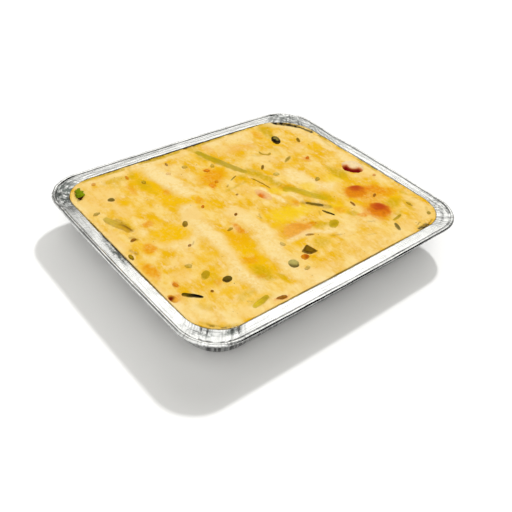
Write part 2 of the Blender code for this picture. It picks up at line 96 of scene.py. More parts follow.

# Places of the flange painted dark, as painted shade for the dark surroundings the foil mirrors there:
# middle, reach, strength and how far out each goes
SHADES = (
    ((-0.150, 0.114), 0.021, 1.0, 1.0),
    ((-0.152, 0.018), 0.012, 0.7, 0.45),
    ((-0.152, 0.000), 0.012, 1.0, 0.55),
    ((0.142, 0.118), 0.022, 0.55, 1.0),
    ((0.155, 0.060), 0.030, 0.40, 1.0),
    ((-0.127, -0.123), 0.008, 0.9, 0.6),
    ((-0.146, -0.112), 0.007, 0.7, 0.8),
)

# Places where the flange was pushed down on its inner side: middle, reach and depth
DIPS = (
    ((-0.146, 0.109), 0.021, 0.0012),
    ((-0.150, 0.030), 0.013, 0.0007),
    ((-0.150, 0.004), 0.014, 0.0010),
    ((0.150, 0.030), 0.030, 0.0004),
    ((-0.124, -0.120), 0.008, 0.0006),
)


def select_only(piece):
    if bpy.context.mode != "OBJECT":
        bpy.ops.object.mode_set(mode="OBJECT")
    bpy.ops.object.select_all(action="DESELECT")
    piece.select_set(True)
    bpy.context.view_layer.objects.active = piece


def new_piece(name):
    """Names the primitive that was just added, and leaves it alone selected."""
    piece = bpy.context.object
    piece.name = name
    piece.data.name = name
    select_only(piece)
    return piece


def points_of(piece):
    flat = np.zeros(len(piece.data.vertices) * 3)
    piece.data.vertices.foreach_get("co", flat)
    return flat.reshape(-1, 3)


def set_points(piece, points):
    piece.data.vertices.foreach_set("co", np.asarray(points, float).ravel())
    piece.data.update()


def rounded_outline(size, radii, bow=0.0):
    """Places round a rounded rectangle and their outward normals, anticlockwise from the +X +Y corner."""
    half = np.array(size) / 2
    signs = ((1, 1), (-1, 1), (-1, -1), (1, -1))
    places = []
    normals = []
    ends = []
    for corner in range(4):
        middle = np.array(signs[corner]) * (half - radii[corner])
        for step in range(CORNER_STEPS + 1):
            angle = math.radians(90) * (corner + step / CORNER_STEPS)
            normal = np.array((math.cos(angle), math.sin(angle)))
            ends.append((middle + normal * radii[corner], normal))
    for corner in range(4):
        arc = ends[corner * (CORNER_STEPS + 1) : (corner + 1) * (CORNER_STEPS + 1)]
        places += [place for place, _ in arc]
        normals += [normal for _, normal in arc]
        start, normal = arc[-1]
        end = ends[(corner + 1) % 4 * (CORNER_STEPS + 1)][0]
        steps = SHORT_STEPS if corner % 2 else LONG_STEPS
        for step in range(1, steps):
            share = step / steps
            places.append(start * (1 - share) + end * share + normal * bow * math.sin(math.pi * share))
            normals.append(normal)
    return np.array(places), np.array(normals)


def marked_depth(places, marks):
    deep = np.zeros(len(places))
    for middle, reach, depth in marks:
        deep += depth * np.exp(-(np.linalg.norm(places - middle, axis=1) / reach) ** 2)
    return deep


def dented(outline):
    places, normals = outline
    return places - normals * marked_depth(places, RIM_DENTS)[:, None], normals


BASE = rounded_outline(BASE_SIZE, BASE_CORNERS)
MOUTH = rounded_outline(MOUTH_SIZE, MOUTH_CORNERS, EDGE_BOW)
RIM = dented(rounded_outline(RIM_SIZE, RIM_CORNERS, EDGE_BOW))


def tray_rows():
    """Rows from the base to the end of the curl: inner and outer outline, share, offset, level and kind."""
    skin = SHEET / 2
    rows = [(BASE, BASE, 0, offset, skin, "base") for offset in (-0.060, -0.030, -0.012, -0.0075)]
    for step in range(5):
        turn = math.radians(90) * step / 5
        offset = -BASE_BEND * (1 - math.sin(turn)) - skin
        rows.append((BASE, MOUTH, 0, offset, BASE_BEND * (1 - math.cos(turn)) + skin, "bend"))
    wall_top = FLANGE_LEVEL - MOUTH_BEND
    for step in range(16):
        level = BASE_BEND + (wall_top - BASE_BEND) * step / 15
        rows.append((BASE, MOUTH, level / FLANGE_LEVEL, -skin, level, "wall"))
    for step in range(1, 5):
        turn = math.radians(90) * step / 4
        offset = MOUTH_BEND * (1 - math.cos(turn)) - skin
        rows.append((MOUTH, RIM, 0, offset, wall_top + (MOUTH_BEND - skin) * math.sin(turn), "lip"))
    for step in range(1, 13):
        share = FLANGE_START + FLANGE_WIDTH * step / 12
        rows.append((MOUTH, RIM, share, 0, FLANGE_LEVEL - skin, "flange"))
    rows.append((RIM, RIM, 0, -BEAD_RADIUS * 2.1, FLANGE_LEVEL - 0.0003, "flange"))
    radius = BEAD_RADIUS - skin
    for angle in (150, 122, 96, 70, 44, 18, -8, -34, -60, -90, -120, -150):
        turn = math.radians(angle)
        offset = -BEAD_RADIUS + radius * math.cos(turn)
        rows.append((RIM, RIM, 0, offset, BEAD_TOP - BEAD_RADIUS + radius * math.sin(turn), "bead"))
    return rows


def press_blank(rows):
    """A flat blank with rounded corners, extruded edge by edge up the wall and out over the rim."""
    bpy.ops.mesh.primitive_plane_add(size=1, location=(0, 0, 0))
    sheet = new_piece("foil_tray")
    bpy.ops.object.mode_set(mode="EDIT")
    bpy.ops.mesh.select_all(action="SELECT")
    bpy.ops.transform.resize(value=(BASE_SIZE[0] - 0.12, BASE_SIZE[1] - 0.12, 1), center_override=(0, 0, 0))
    bpy.ops.mesh.bevel(offset=0.012, segments=CORNER_STEPS, affect="VERTICES")
    bpy.ops.mesh.delete(type="ONLY_FACE")
    for axis, steps in ((0, LONG_STEPS), (1, SHORT_STEPS)):
        bpy.ops.mesh.select_mode(type="EDGE")
        bpy.ops.mesh.select_all(action="DESELECT")
        shape = bmesh.from_edit_mesh(sheet.data)
        for edge in shape.edges:
            reach = edge.verts[0].co - edge.verts[1].co
            edge.select_set(abs(reach[axis]) > 0.04)
        bmesh.update_edit_mesh(sheet.data)
        bpy.ops.mesh.subdivide(number_cuts=1)
        bpy.ops.mesh.subdivide(number_cuts=steps // 2 - 1)
    bpy.ops.mesh.select_all(action="SELECT")
    for _ in rows[1:]:
        bpy.ops.mesh.extrude_edges_move(TRANSFORM_OT_translate={"value": (0, 0, 0.001)})
        bpy.ops.transform.resize(value=(1.02, 1.02, 1), center_override=(0, 0, 0))
    bpy.ops.mesh.select_mode(type="VERT")
    bpy.ops.mesh.select_all(action="DESELECT")
    shape = bmesh.from_edit_mesh(sheet.data)
    shape.verts.ensure_lookup_table()
    for vertex in shape.verts[:RING_PLACES]:
        vertex.select_set(True)
    bmesh.update_edit_mesh(sheet.data)
    bpy.ops.mesh.edge_face_add()
    bpy.ops.object.mode_set(mode="OBJECT")
    return sheet


def smooth_step(value, low, high):
    share = np.clip((value - low) / (high - low), 0, 1)
    return share * share * (3 - 2 * share)


def around_the_rim():
    """The length along the rim at each place, its whole length, and how far each place is in a corner."""
    places = RIM[0]
    steps = np.linalg.norm(np.roll(places, -1, axis=0) - places, axis=1)
    length = np.concatenate([[0], np.cumsum(steps)[:-1]])
    whole = steps.sum()
    corner = np.zeros(RING_PLACES)
    per_side = (LONG_STEPS - 1, SHORT_STEPS - 1)
    start = 0
    for index in range(4):
        corner[start : start + CORNER_STEPS + 1] = 1
        start += CORNER_STEPS + 1 + per_side[index % 2]
    kernel = np.hanning(19)
    kernel /= kernel.sum()
    doubled = np.concatenate([corner[-40:], corner, corner[:40]])
    return length, whole, np.convolve(doubled, kernel, "same")[40:-40]


def pleats(length, whole, corner):
    """Folds pressed into the wall: place, half width, depth, slant and how far each reaches on the flange."""
    rng = random.Random(3)
    made = []
    at = 0.0
    while at < whole - 0.003:
        turn = corner[np.searchsorted(length, at) - 1]
        gap = (1 - turn) * rng.uniform(0.0040, 0.0080) + turn * rng.uniform(0.0022, 0.0038)
        depth = (1 - turn) * rng.uniform(0.00008, 0.00040) + turn * rng.uniform(0.0003, 0.0010)
        slant = (1 - turn) * rng.uniform(-0.05, 0.35)
        reach = turn * rng.uniform(0.3, 1.0)
        made.append((at + gap / 2, gap * 0.55, depth, slant, reach))
        at += gap
    return made


def creased(x, y, size, seed):
    """Sharp ridges between flat facets, as in foil that was crumpled and smoothed out, from 0 to about 1."""
    near, far = noise.voronoi(Vector((x / size, y / size, seed)))[0][:2]
    return min(far - near, 1.0)


def shape_tray(sheet, rows):
    """Moves each row of the pressed sheet onto its outline, and folds and crumples it."""
    points = points_of(sheet)
    length, whole, corner = around_the_rim()
    folds = pleats(length, whole, corner)
    first = math.atan2(BASE[0][0][1], BASE[0][0][0]) - 0.001
    marks = {name: np.zeros(len(points)) for name in ("along", "across", "crumple_and_painted_shade", "wall", "pleat_painted_shade")}
    for index, (inner, outer, share, offset, level, kind) in enumerate(rows):
        block = np.arange(index * RING_PLACES, (index + 1) * RING_PLACES)
        angles = np.arctan2(points[block, 1], points[block, 0])
        order = block[np.argsort((angles - first) % (2 * math.pi))]
        normals = inner[1]
        plan = inner[0] * (1 - share) + outer[0] * share
        out = np.full(RING_PLACES, float(offset))
        up = np.full(RING_PLACES, float(level))
        crumple = marked_depth(plan, CRUMPLES)
        pushed = marked_depth(plan, DIPS)
        # Painted shade on the shaded places of the flange
        shaded = np.zeros(RING_PLACES)
        for middle, reach, strength, outward in SHADES:
            near = np.exp(-((np.linalg.norm(plan - middle, axis=1) / reach) ** 4))
            end = FLANGE_END * outward
            shaded += strength * near * (1 - smooth_step(share, end - 0.15, end + 0.1))
        # Painted shade in the folds of the pleats, kept as a mask for the foil's colour
        pleat_painted_shade = np.zeros(RING_PLACES)
        height_share = min(level / FLANGE_LEVEL, 1.0)
        if kind != "base":
            for middle, half, depth, slant, reach in folds:
                away = (length - middle - slant * (FLANGE_LEVEL - level) + whole / 2) % whole - whole / 2
                fold = np.clip(1 - np.abs(away) / half, 0, 1)
                if kind in ("wall", "bend", "lip"):
                    out -= fold * depth * (0.25 + 0.75 * height_share)
                if kind in ("lip", "flange"):
                    fade = reach * (1 - 0.9 * max(share, 0))
                    up -= fold * depth * fade
                    pleat_painted_shade += np.clip(fold * 1.4, 0, 1) ** 2 * fade * min(depth / 0.0006, 1.0)
                if kind == "bead":
                    out -= fold * depth * (0.2 + reach) * 0.4
                    pleat_painted_shade += fold**2 * (0.25 + reach) * 0.8
        if kind in ("lip", "flange"):
            up -= pushed * (1 - min(share / FLANGE_END, 1.0)) ** 1.5
        # Painted shade: dark dashes along the groove at the corners
        if kind == "flange" and share == 0:
            dashes = np.array([noise.noise(Vector((at / 0.0045, 3.0, 2.0))) for at in length])
            pleat_painted_shade += corner * smooth_step(dashes, -0.05, 0.2) * 0.9
        if kind == "bead":
            above_middle = max(level - BEAD_TOP + BEAD_RADIUS, 0)
            up -= FRONT_SAG * smooth_step(-normals[:, 1], 0.5, 1.0) * above_middle / BEAD_RADIUS
        for place in range(RING_PLACES):
            x, y = plan[place]
            along = length[place]
            if kind == "base":
                up[place] += BASE_FACETS * creased(x, y, 0.012, 2.0)
            elif kind in ("wall", "bend"):
                wide = noise.noise(Vector((along / 0.022, level / 0.02, 4.0)))
                fine = creased(along + level, level, 0.006, 5.0)
                out[place] += WALL_WAVES * wide * height_share - WALL_FACETS * fine
            else:
                wide = noise.noise(Vector((along / 0.030, share * 1.5, 8.0)))
                streak = noise.noise(Vector((along / 0.050, share * 6 + 3, 6.0)))
                streak += 0.6 * noise.noise(Vector((along / 0.016, share * 11 + 3, 9.0)))
                sharp = creased(x, y, 0.0065, 1.0) - 0.4
                small = creased(x, y, 0.0032, 7.0) - 0.4
                depth = crumple[place]
                lift = RIM_WAVES * wide + (RIM_STREAKS + 0.3 * depth) * streak
                lift += (0.00004 + depth) * sharp + (0.00002 + depth * 0.6) * small
                up[place] += lift * (0.4 if kind == "lip" else 1.0)
                if kind == "bead":
                    out[place] += depth * 0.7 * (sharp + small * 0.5)
        points[order, :2] = np.clip(plan + normals * out[:, None], -FARTHEST, FARTHEST)
        points[order, 2] = np.maximum(up, SHEET / 2)
        marks["along"][order] = length
        marks["across"][order] = index * 0.001
        marks["pleat_painted_shade"][order] = np.clip(pleat_painted_shade, 0, 1)
        # Painted shade on the crumpled and shaded places of the flange, darker where the crumples go deeper
        if kind in ("flange", "lip"):
            marks["crumple_and_painted_shade"][order] = np.clip(shaded + crumple / 0.003, 0, 1)
        # Painted shade on the wall, where it mirrors the shaded floor under the rim
        if kind in ("wall", "bend"):
            marks["wall"][order] = 1.0
        # Painted shade on the low front of the bead, where it mirrors the shaded floor
        if kind == "bead":
            facing_front = smooth_step(-normals[:, 1], 0.2, 0.8)
            low = smooth_step(BEAD_TOP - level, 0.0004, 0.0024)
            marks["wall"][order] = low * (0.40 + 0.50 * facing_front)
    set_points(sheet, points)
    add_masks(sheet, marks)


def add_masks(piece, masks):
    for name, values in masks.items():
        layer = piece.data.attributes.new(name, "FLOAT", "POINT")
        layer.data.foreach_set("value", np.asarray(values, np.float32))


# The colour sockets of a Mix node: the one below, the one above and the result
BELOW = 6
ABOVE = 7
MIXED = 2


def mix_over(tree, below, mask, colour):
    """A colour laid over another where a mask says so."""
    node = tree.nodes.new("ShaderNodeMix")
    node.data_type = "RGBA"
    tree.links.new(mask, node.inputs["Factor"])
    tree.links.new(below, node.inputs[BELOW])
    if isinstance(colour, tuple):
        node.inputs[ABOVE].default_value = colour
    else:
        tree.links.new(colour, node.inputs[ABOVE])
    return node.outputs[MIXED]


def mask_node(tree, name):
    node = tree.nodes.new("ShaderNodeAttribute")
    node.attribute_name = name
    return node.outputs["Fac"]


def noise_over(tree, place, stretch, scale, detail, roughness):
    mapping = tree.nodes.new("ShaderNodeMapping")
    mapping.inputs["Scale"].default_value = stretch
    texture = tree.nodes.new("ShaderNodeTexNoise")
    texture.inputs["Scale"].default_value = scale
    texture.inputs["Detail"].default_value = detail
    texture.inputs["Roughness"].default_value = roughness
    tree.links.new(place, mapping.inputs["Vector"])
    tree.links.new(mapping.outputs["Vector"], texture.inputs["Vector"])
    return texture.outputs["Fac"]


def piece_noise(tree, scale, detail, roughness, stretch=(1, 1, 1)):
    """A noise pattern on Object coordinates, fixed to the piece."""
    place = tree.nodes.new("ShaderNodeTexCoord")
    return noise_over(tree, place.outputs["Object"], stretch, scale, detail, roughness)


def spread(tree, value, low, high, to_low, to_high):
    """A value spread from one range to another and kept inside it."""
    node = tree.nodes.new("ShaderNodeMapRange")
    node.inputs["From Min"].default_value = low
    node.inputs["From Max"].default_value = high
    node.inputs["To Min"].default_value = to_low
    node.inputs["To Max"].default_value = to_high
    tree.links.new(value, node.inputs["Value"])
    return node.outputs["Result"]


def new_material(name, roughness):
    made = bpy.data.materials.new(name)
    made.use_nodes = True
    shader = made.node_tree.nodes["Principled BSDF"]
    shader.inputs["Roughness"].default_value = roughness
    return made, made.node_tree, shader


def linear(red, green, blue):
    """A colour given as it looks on a screen, from 0 to 255, as the shader wants it."""
    return (*[(part / 255) ** 2.2 for part in (red, green, blue)], 1)


def rolled_noise(tree, along, across):
    """A noise pattern that follows the rim: how often it changes along it and across it, per metre."""
    place = tree.nodes.new("ShaderNodeCombineXYZ")
    tree.links.new(mask_node(tree, "along"), place.inputs["X"])
    tree.links.new(mask_node(tree, "across"), place.inputs["Y"])
    return noise_over(tree, place.outputs["Vector"], (along, across, 1), 1, 3, 0.5)


def worked_out(tree, operation, *values, clamp=False):
    """A sum or product in a material; each value is a plain number or the output of another node."""
    node = tree.nodes.new("ShaderNodeMath")
    node.operation = operation
    node.use_clamp = clamp
    for value, socket in zip(values, node.inputs):
        if isinstance(value, (int, float)):
            socket.default_value = value
        else:
            tree.links.new(value, socket)
    return node.outputs["Value"]


def two_tones(tree, value, low, low_tone, high, high_tone):
    """Two colours blended by a value, between two places in its range."""
    ramp = tree.nodes.new("ShaderNodeValToRGB")
    for stop, place, tone in zip(ramp.color_ramp.elements, (low, high), (low_tone, high_tone)):
        stop.position = place
        stop.color = tone
    tree.links.new(value, ramp.inputs["Fac"])
    return ramp.outputs["Color"]


def add_bump(tree, shader, height, strength, distance):
    bump = tree.nodes.new("ShaderNodeBump")
    bump.inputs["Strength"].default_value = strength
    bump.inputs["Distance"].default_value = distance
    tree.links.new(height, bump.inputs["Height"])
    tree.links.new(bump.outputs["Normal"], shader.inputs["Normal"])


# The foil's own colour, where it is dull and where it is bright
FOIL_DULL = (0.74, 0.75, 0.745, 1)
FOIL_BRIGHT = (0.90, 0.905, 0.90, 1)

# Each painted shade of the foil, its dark colour, how often its pattern changes along and across the rim, and
# how that is spread
FOIL_PAINTED_SHADES = (
    # Painted shade on the wall and the low front of the bead
    ("wall", (0.09, 0.09, 0.092, 1), (300, 25), (0.43, 0.56, 0.45, 1.0)),
    # Painted shade on the crumpled and shaded places of the flange
    ("crumple_and_painted_shade", (0.16, 0.18, 0.17, 1), (160, 200), (0.40, 0.54, 0.15, 1.0)),
    # Painted shade in the folds of the pleats and the dashes of the groove
    ("pleat_painted_shade", (0.05, 0.055, 0.05, 1), (120, 60), (0.44, 0.55, 0.05, 1.0)),
)


def foil_material():
    made, tree, shader = new_material("bright_foil", 0.24)
    shader.inputs["Metallic"].default_value = 1.0
    dull = piece_noise(tree, 60, 3, 0.6)
    colour = two_tones(tree, dull, 0.30, FOIL_DULL, 0.62, FOIL_BRIGHT)
    # Lays each painted shade over the foil's own colour
    for name, tone, pattern, reach in FOIL_PAINTED_SHADES:
        patches = spread(tree, rolled_noise(tree, *pattern), *reach)
        colour = mix_over(tree, colour, worked_out(tree, "MULTIPLY", mask_node(tree, name), patches), tone)
    tree.links.new(colour, shader.inputs["Base Color"])
    tree.links.new(spread(tree, dull, 0.3, 0.7, 0.07, 0.13), shader.inputs["Roughness"])
    lines = rolled_noise(tree, 35, 900)
    crumple_and_painted_shade = spread(tree, mask_node(tree, "crumple_and_painted_shade"), 0, 1, 0.25, 1.6)
    folds = worked_out(tree, "MULTIPLY", rolled_noise(tree, 700, 160), crumple_and_painted_shade)
    add_bump(tree, shader, worked_out(tree, "ADD", lines, folds), 0.6, 0.0004)
    return made


def finish_piece(piece, nodes, slot, smooth_angle=None):
    """Smooth shading and material, and the CAD nodes that the piece stands for."""
    select_only(piece)
    piece.data.materials.clear()
    piece.data.materials.append(FINISHES[slot])
    if smooth_angle is None:
        bpy.ops.object.shade_smooth()
    else:
        bpy.ops.object.shade_smooth_by_angle(angle=math.radians(smooth_angle))
    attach(piece, "root")
    if nodes:
        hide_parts(*nodes)


def faces_out(piece):
    select_only(piece)
    bpy.ops.object.mode_set(mode="EDIT")
    bpy.ops.mesh.select_all(action="SELECT")
    bpy.ops.mesh.normals_make_consistent(inside=False)
    bpy.ops.object.mode_set(mode="OBJECT")


rows = tray_rows()
foil_tray = press_blank(rows)
shape_tray(foil_tray, rows)
faces_out(foil_tray)
wall = foil_tray.modifiers.new("sheet thickness", "SOLIDIFY")
wall.thickness = SHEET
wall.offset = 0
bpy.ops.object.modifier_apply(modifier=wall.name)
FINISHES = {"foil": foil_material()}
finish_piece(foil_tray, ["tray", "tray_rim"], "foil", 35)


# Bake: vegetables under a cream sauce, poured to the brim and baked. The top is softly folded, pale on the
# folds and gold where oil and egg lie between them, and scorched where it touches hot foil.

EDGE_LEVEL = 0.0400
CROWN = 0.0014
CROWN_REACH = 0.009
LUMP_HEIGHT = 0.0007
LUMP_SIZE = 0.017
FOOD_INSET = 0.0006
FOOD_SPACING = 0.00098
BUBBLE_SIZE = 0.011
FILM_HEIGHT = 0.0017
FILM_REACH = 0.0013

# The side of the food, step by step: how far each goes down, and how far in beyond the slope of the wall
SIDE_STEPS = ((0.004, 0.0003), (0.016, 0.0075), (0.0165, 0.0040))

# Soft folds in the top of the food: start, end, half width and height of each
FOLDS = (
    ((-0.124, 0.105), (-0.128, -0.080), 0.012, 0.0010),
    ((-0.056, 0.112), (-0.060, 0.030), 0.013, 0.0022),
    ((-0.064, 0.022), (-0.076, -0.092), 0.011, 0.0019),
    ((-0.073, 0.098), (-0.064, 0.040), 0.009, -0.0017),
    ((-0.020, 0.100), (-0.036, 0.020), 0.013, 0.0010),
    ((-0.094, 0.016), (-0.090, -0.004), 0.014, -0.0012),
    ((-0.053, -0.022), (-0.062, -0.100), 0.010, -0.0014),
    ((-0.030, -0.016), (-0.034, -0.075), 0.012, 0.0016),
    ((-0.012, 0.064), (-0.004, 0.050), 0.016, -0.0010),
    ((0.036, 0.112), (0.044, 0.014), 0.014, 0.0018),
    ((0.082, 0.022), (0.074, -0.020), 0.012, 0.0017),
    ((0.010, -0.026), (0.016, -0.034), 0.014, -0.0009),
    ((0.018, -0.094), (0.078, -0.108), 0.012, 0.0012),
    ((0.124, 0.096), (0.134, 0.030), 0.012, 0.0013),
    ((0.124, -0.056), (0.132, -0.064), 0.014, -0.0010),
    ((0.106, 0.008), (0.107, -0.016), 0.010, -0.0010),
)


def noise_at(x, y, size, layer=0.0):
    """Smooth noise in plan, from about -1 to 1, at each of these places."""
    return np.array([noise.noise(Vector((a / size, b / size, layer))) for a, b in zip(x, y)])


def depth_inside(x, y):
    """How far places are inside the mouth of the tray."""
    radii = np.array(MOUTH_CORNERS)
    corner = np.where(x > 0, np.where(y > 0, 0, 3), np.where(y > 0, 1, 2))
    radius = radii[corner]
    over_x = np.abs(x) - (MOUTH_SIZE[0] / 2 - radius)
    over_y = np.abs(y) - (MOUTH_SIZE[1] / 2 - radius)
    outside = np.hypot(np.maximum(over_x, 0), np.maximum(over_y, 0))
    return radius - outside - np.minimum(np.maximum(over_x, over_y), 0)


def along_segment(x, y, start, end):
    """How far places are from a segment, and their share of the way along it."""
    way = np.subtract(end, start)
    share = ((x - start[0]) * way[0] + (y - start[1]) * way[1]) / (way @ way)
    share = np.clip(share, 0, 1)
    return np.hypot(x - start[0] - share * way[0], y - start[1] - share * way[1]), share


def top_level(x, y):
    """The height of the food's top, as in the CAD model: a low crown, its soft folds and small lumps."""
    x = np.asarray(x, float)
    y = np.asarray(y, float)
    rise = 1 - np.exp(-np.maximum(depth_inside(x, y), 0) / CROWN_REACH)
    level = np.full(x.shape, CROWN)
    for start, end, reach, height in FOLDS:
        level += height * np.exp(-((along_segment(x, y, start, end)[0] / reach) ** 2))
    level += LUMP_HEIGHT * noise_at(x, y, LUMP_SIZE)
    return EDGE_LEVEL + rise * level


# Where the sauce took each tone, in millimetres of plan: middle, half sizes, angle and strength of a pool
POOLS = {
    "gold": (
        (-99, 7, 19, 11, 0, 0.95), (-90, -3, 9, 7, 0, 0.8), (-100, 27, 9, 6, 0, 0.5),
        (-53, -40, 10, 20, -6, 1.0), (-60, -70, 13, 17, 6, 0.95), (-52, -98, 3, 9, 10, 0.7),
        (-48, 33, 8, 10, 10, 0.85), (-42, 19, 13, 6, 0, 0.7), (-12, 62, 19, 13, 28, 0.85),
        (-18, 48, 7, 9, -20, 0.7), (2, 62, 9, 13, 0, 0.6), (-92, 79, 5, 11, 0, 0.6),
        (-106, 66, 9, 6, 20, 0.5), (-100, 50, 13, 10, 0, 0.35), (-124, 37, 7, 9, 20, 0.6),
        (-125, -5, 7, 9, 0, 0.7), (-140, -27, 5, 15, 0, 0.75), (-101, -62, 9, 13, -10, 0.6),
        (-90, -40, 13, 7, 0, 0.55), (-98, -85, 13, 6, -8, 0.65), (8, -27, 20, 9, -15, 0.75),
        (-6, -37, 12, 5, 10, 0.7), (-14, -70, 13, 5, 0, 0.5), (9, -80, 12, 8, 0, 0.6),
        (-3, 94, 7, 17, 0, 0.5), (86, 100, 7, 16, -8, 0.6), (88, 79, 5, 8, 0, 0.7), (123, 48, 8, 8, 0, 0.85),
        (119, 60, 5, 7, 0, 0.4), (75, 33, 5, 3, 20, 0.6), (92, 2, 14, 13, 0, 0.5), (113, -14, 12, 5, 10, 0.6),
        (125, -57, 16, 10, -38, 0.95), (112, -76, 12, 9, 0, 0.6), (108, -90, 9, 4, 10, 0.5),
        (62, -52, 8, 9, 0, 0.75), (80, -50, 8, 9, 0, 0.5), (40, 4, 9, 5, -20, 0.8), (31, 25, 4, 16, 5, 0.55),
        (-129, 6, 4, 8, 0, 0.6), (50, 86, 16, 7, 0, 0.25), (-86, -104, 14, 5, -5, 0.5),
        (66, -32, 9, 15, 20, 0.6), (26, -57, 12, 5, -15, 0.6), (-8, 12, 12, 5, 0, 0.35),
        (-16, 36, 8, 6, 0, 0.3), (88, -25, 10, 6, 20, 0.4), (40, -45, 12, 8, 0, 0.35),
        (-5, -96, 10, 5, 0, 0.15), (-72, 62, 9, 34, -4, 0.6), (-100, 4, 22, 13, 0, 0.5),
        (108, -52, 30, 24, -30, 0.55), (-60, -62, 11, 30, 0, 0.5),
    ),
    "yellow": (
        (14, -30, 24, 11, -12, 0.6), (34, 2, 14, 6, -30, 0.6), (58, -50, 10, 10, 0, 0.5),
        (-2, -42, 14, 8, 0, 0.4), (60, -8, 8, 10, 0, 0.5), (96, -10, 14, 10, 0, 0.4),
    ),
    "olive": (
        (-75, 84, 5, 12, -4, 0.45), (-92, 103, 16, 5, -3, 0.45), (-98, 95, 5, 3, 0, 0.25),
        (-63, -82, 8, 12, 0, 0.75), (5, 112, 7, 9, 0, 0.55), (4, 96, 6, 12, 0, 0.5),
        (97, 100, 7, 17, -6, 0.75), (106, 113, 9, 8, 0, 0.35), (107, -3, 7, 15, 4, 0.75),
        (113, -74, 9, 7, 0, 0.65), (8, -80, 9, 7, 0, 0.5), (26, -59, 11, 5, -20, 0.65),
        (-85, -107, 12, 4, -4, 0.4), (62, -28, 6, 12, 22, 0.6), (104, -87, 8, 3, 15, 0.4),
        (-125, 34, 6, 9, 10, 0.45), (16, 44, 4, 4, 0, 0.5), (138, -68, 4, 5, 0, 0.5), (56, 66, 6, 5, 0, 0.3),
        (29, 44, 4, 9, 0, 0.55), (32, 26, 4, 14, 4, 0.35), (66, -64, 6, 5, -20, 0.6),
        (-102, -64, 6, 9, 0, 0.3), (-52, -96, 3, 8, 10, 0.5), (-92, -96, 9, 4, 0, 0.35),
        (-128, -88, 8, 4, -40, 0.25), (-25, 87, 4, 3, 0, 0.3), (80, 66, 6, 10, 0, 0.2),
    ),
    "orange": (
        (-19, 46, 3, 7, -28, 0.8), (-7, 72, 5, 3, 0, 0.5), (-65, 60, 4, 6, 0, 0.45),
        (-107, 27, 6, 3, 10, 0.55), (-124, -4, 6, 6, 0, 0.6), (-139, -30, 4, 11, 0, 0.55),
        (-62, -63, 9, 5, 0, 0.4), (-67, -85, 5, 3, 0, 0.3), (97, 33, 5, 5, 0, 0.45), (18, -56, 9, 3, -8, 0.6),
        (100, -40, 16, 10, -8, 0.6), (118, -46, 9, 8, -40, 0.5), (88, -78, 13, 12, 20, 0.5),
        (72, -71, 6, 4, -20, 0.6), (59, -53, 7, 6, 0, 0.45), (-69, -114, 7, 2, 0, 0.6),
        (-8, 60, 15, 8, 25, 0.35), (17, 104, 4, 9, 0, 0.25), (84, 102, 4, 9, 0, 0.3),
        (-42, -22, 3, 9, 0, 0.6), (-47, 31, 5, 6, 0, 0.35), (128, -56, 11, 7, -38, 0.4),
        (-91, 80, 4, 9, 0, 0.35), (-140, -66, 6, 5, 0, 0.4), (-133, -55, 3, 4, 0, 0.4),
        (50, 88, 18, 7, 4, 0.2), (112, 62, 6, 7, 0, 0.15), (40, 4, 8, 4, -20, 0.3),
        (106, -48, 24, 14, -25, 0.45), (92, -72, 16, 15, 0, 0.4), (-50, -32, 10, 14, 0, 0.2),
        (-12, 58, 20, 12, 20, 0.25), (0, -50, 20, 13, 0, 0.25), (-101, -70, 4, 4, 0, 0.3),
    ),
    "peach": (
        (-118, 85, 14, 16, 0, 0.7), (-115, 55, 8, 12, 0, 0.7), (-135, 78, 8, 16, 0, 0.6),
        (-66, 16, 9, 8, 0, 0.8), (35, 92, 16, 10, 0, 0.6), (-108, -32, 14, 6, 0, 0.5),
        (-122, -48, 9, 9, 0, 0.6), (100, 56, 9, 7, 0, 0.6), (128, -20, 9, 8, 0, 0.5),
        (45, -100, 30, 8, 0, 0.5), (98, -105, 18, 7, 0, 0.5), (-30, -3, 12, 7, 0, 0.5),
        (-105, -108, 8, 6, 0, 0.5), (-20, -106, 20, 6, 0, 0.5), (2, 20, 8, 10, 0, 0.5),
        (-70, -50, 7, 8, 0, 0.4), (128, -98, 8, 8, 0, 0.5), (-140, 22, 5, 16, 0, 0.8),
        (60, 55, 10, 8, 0, 0.4),
    ),
}

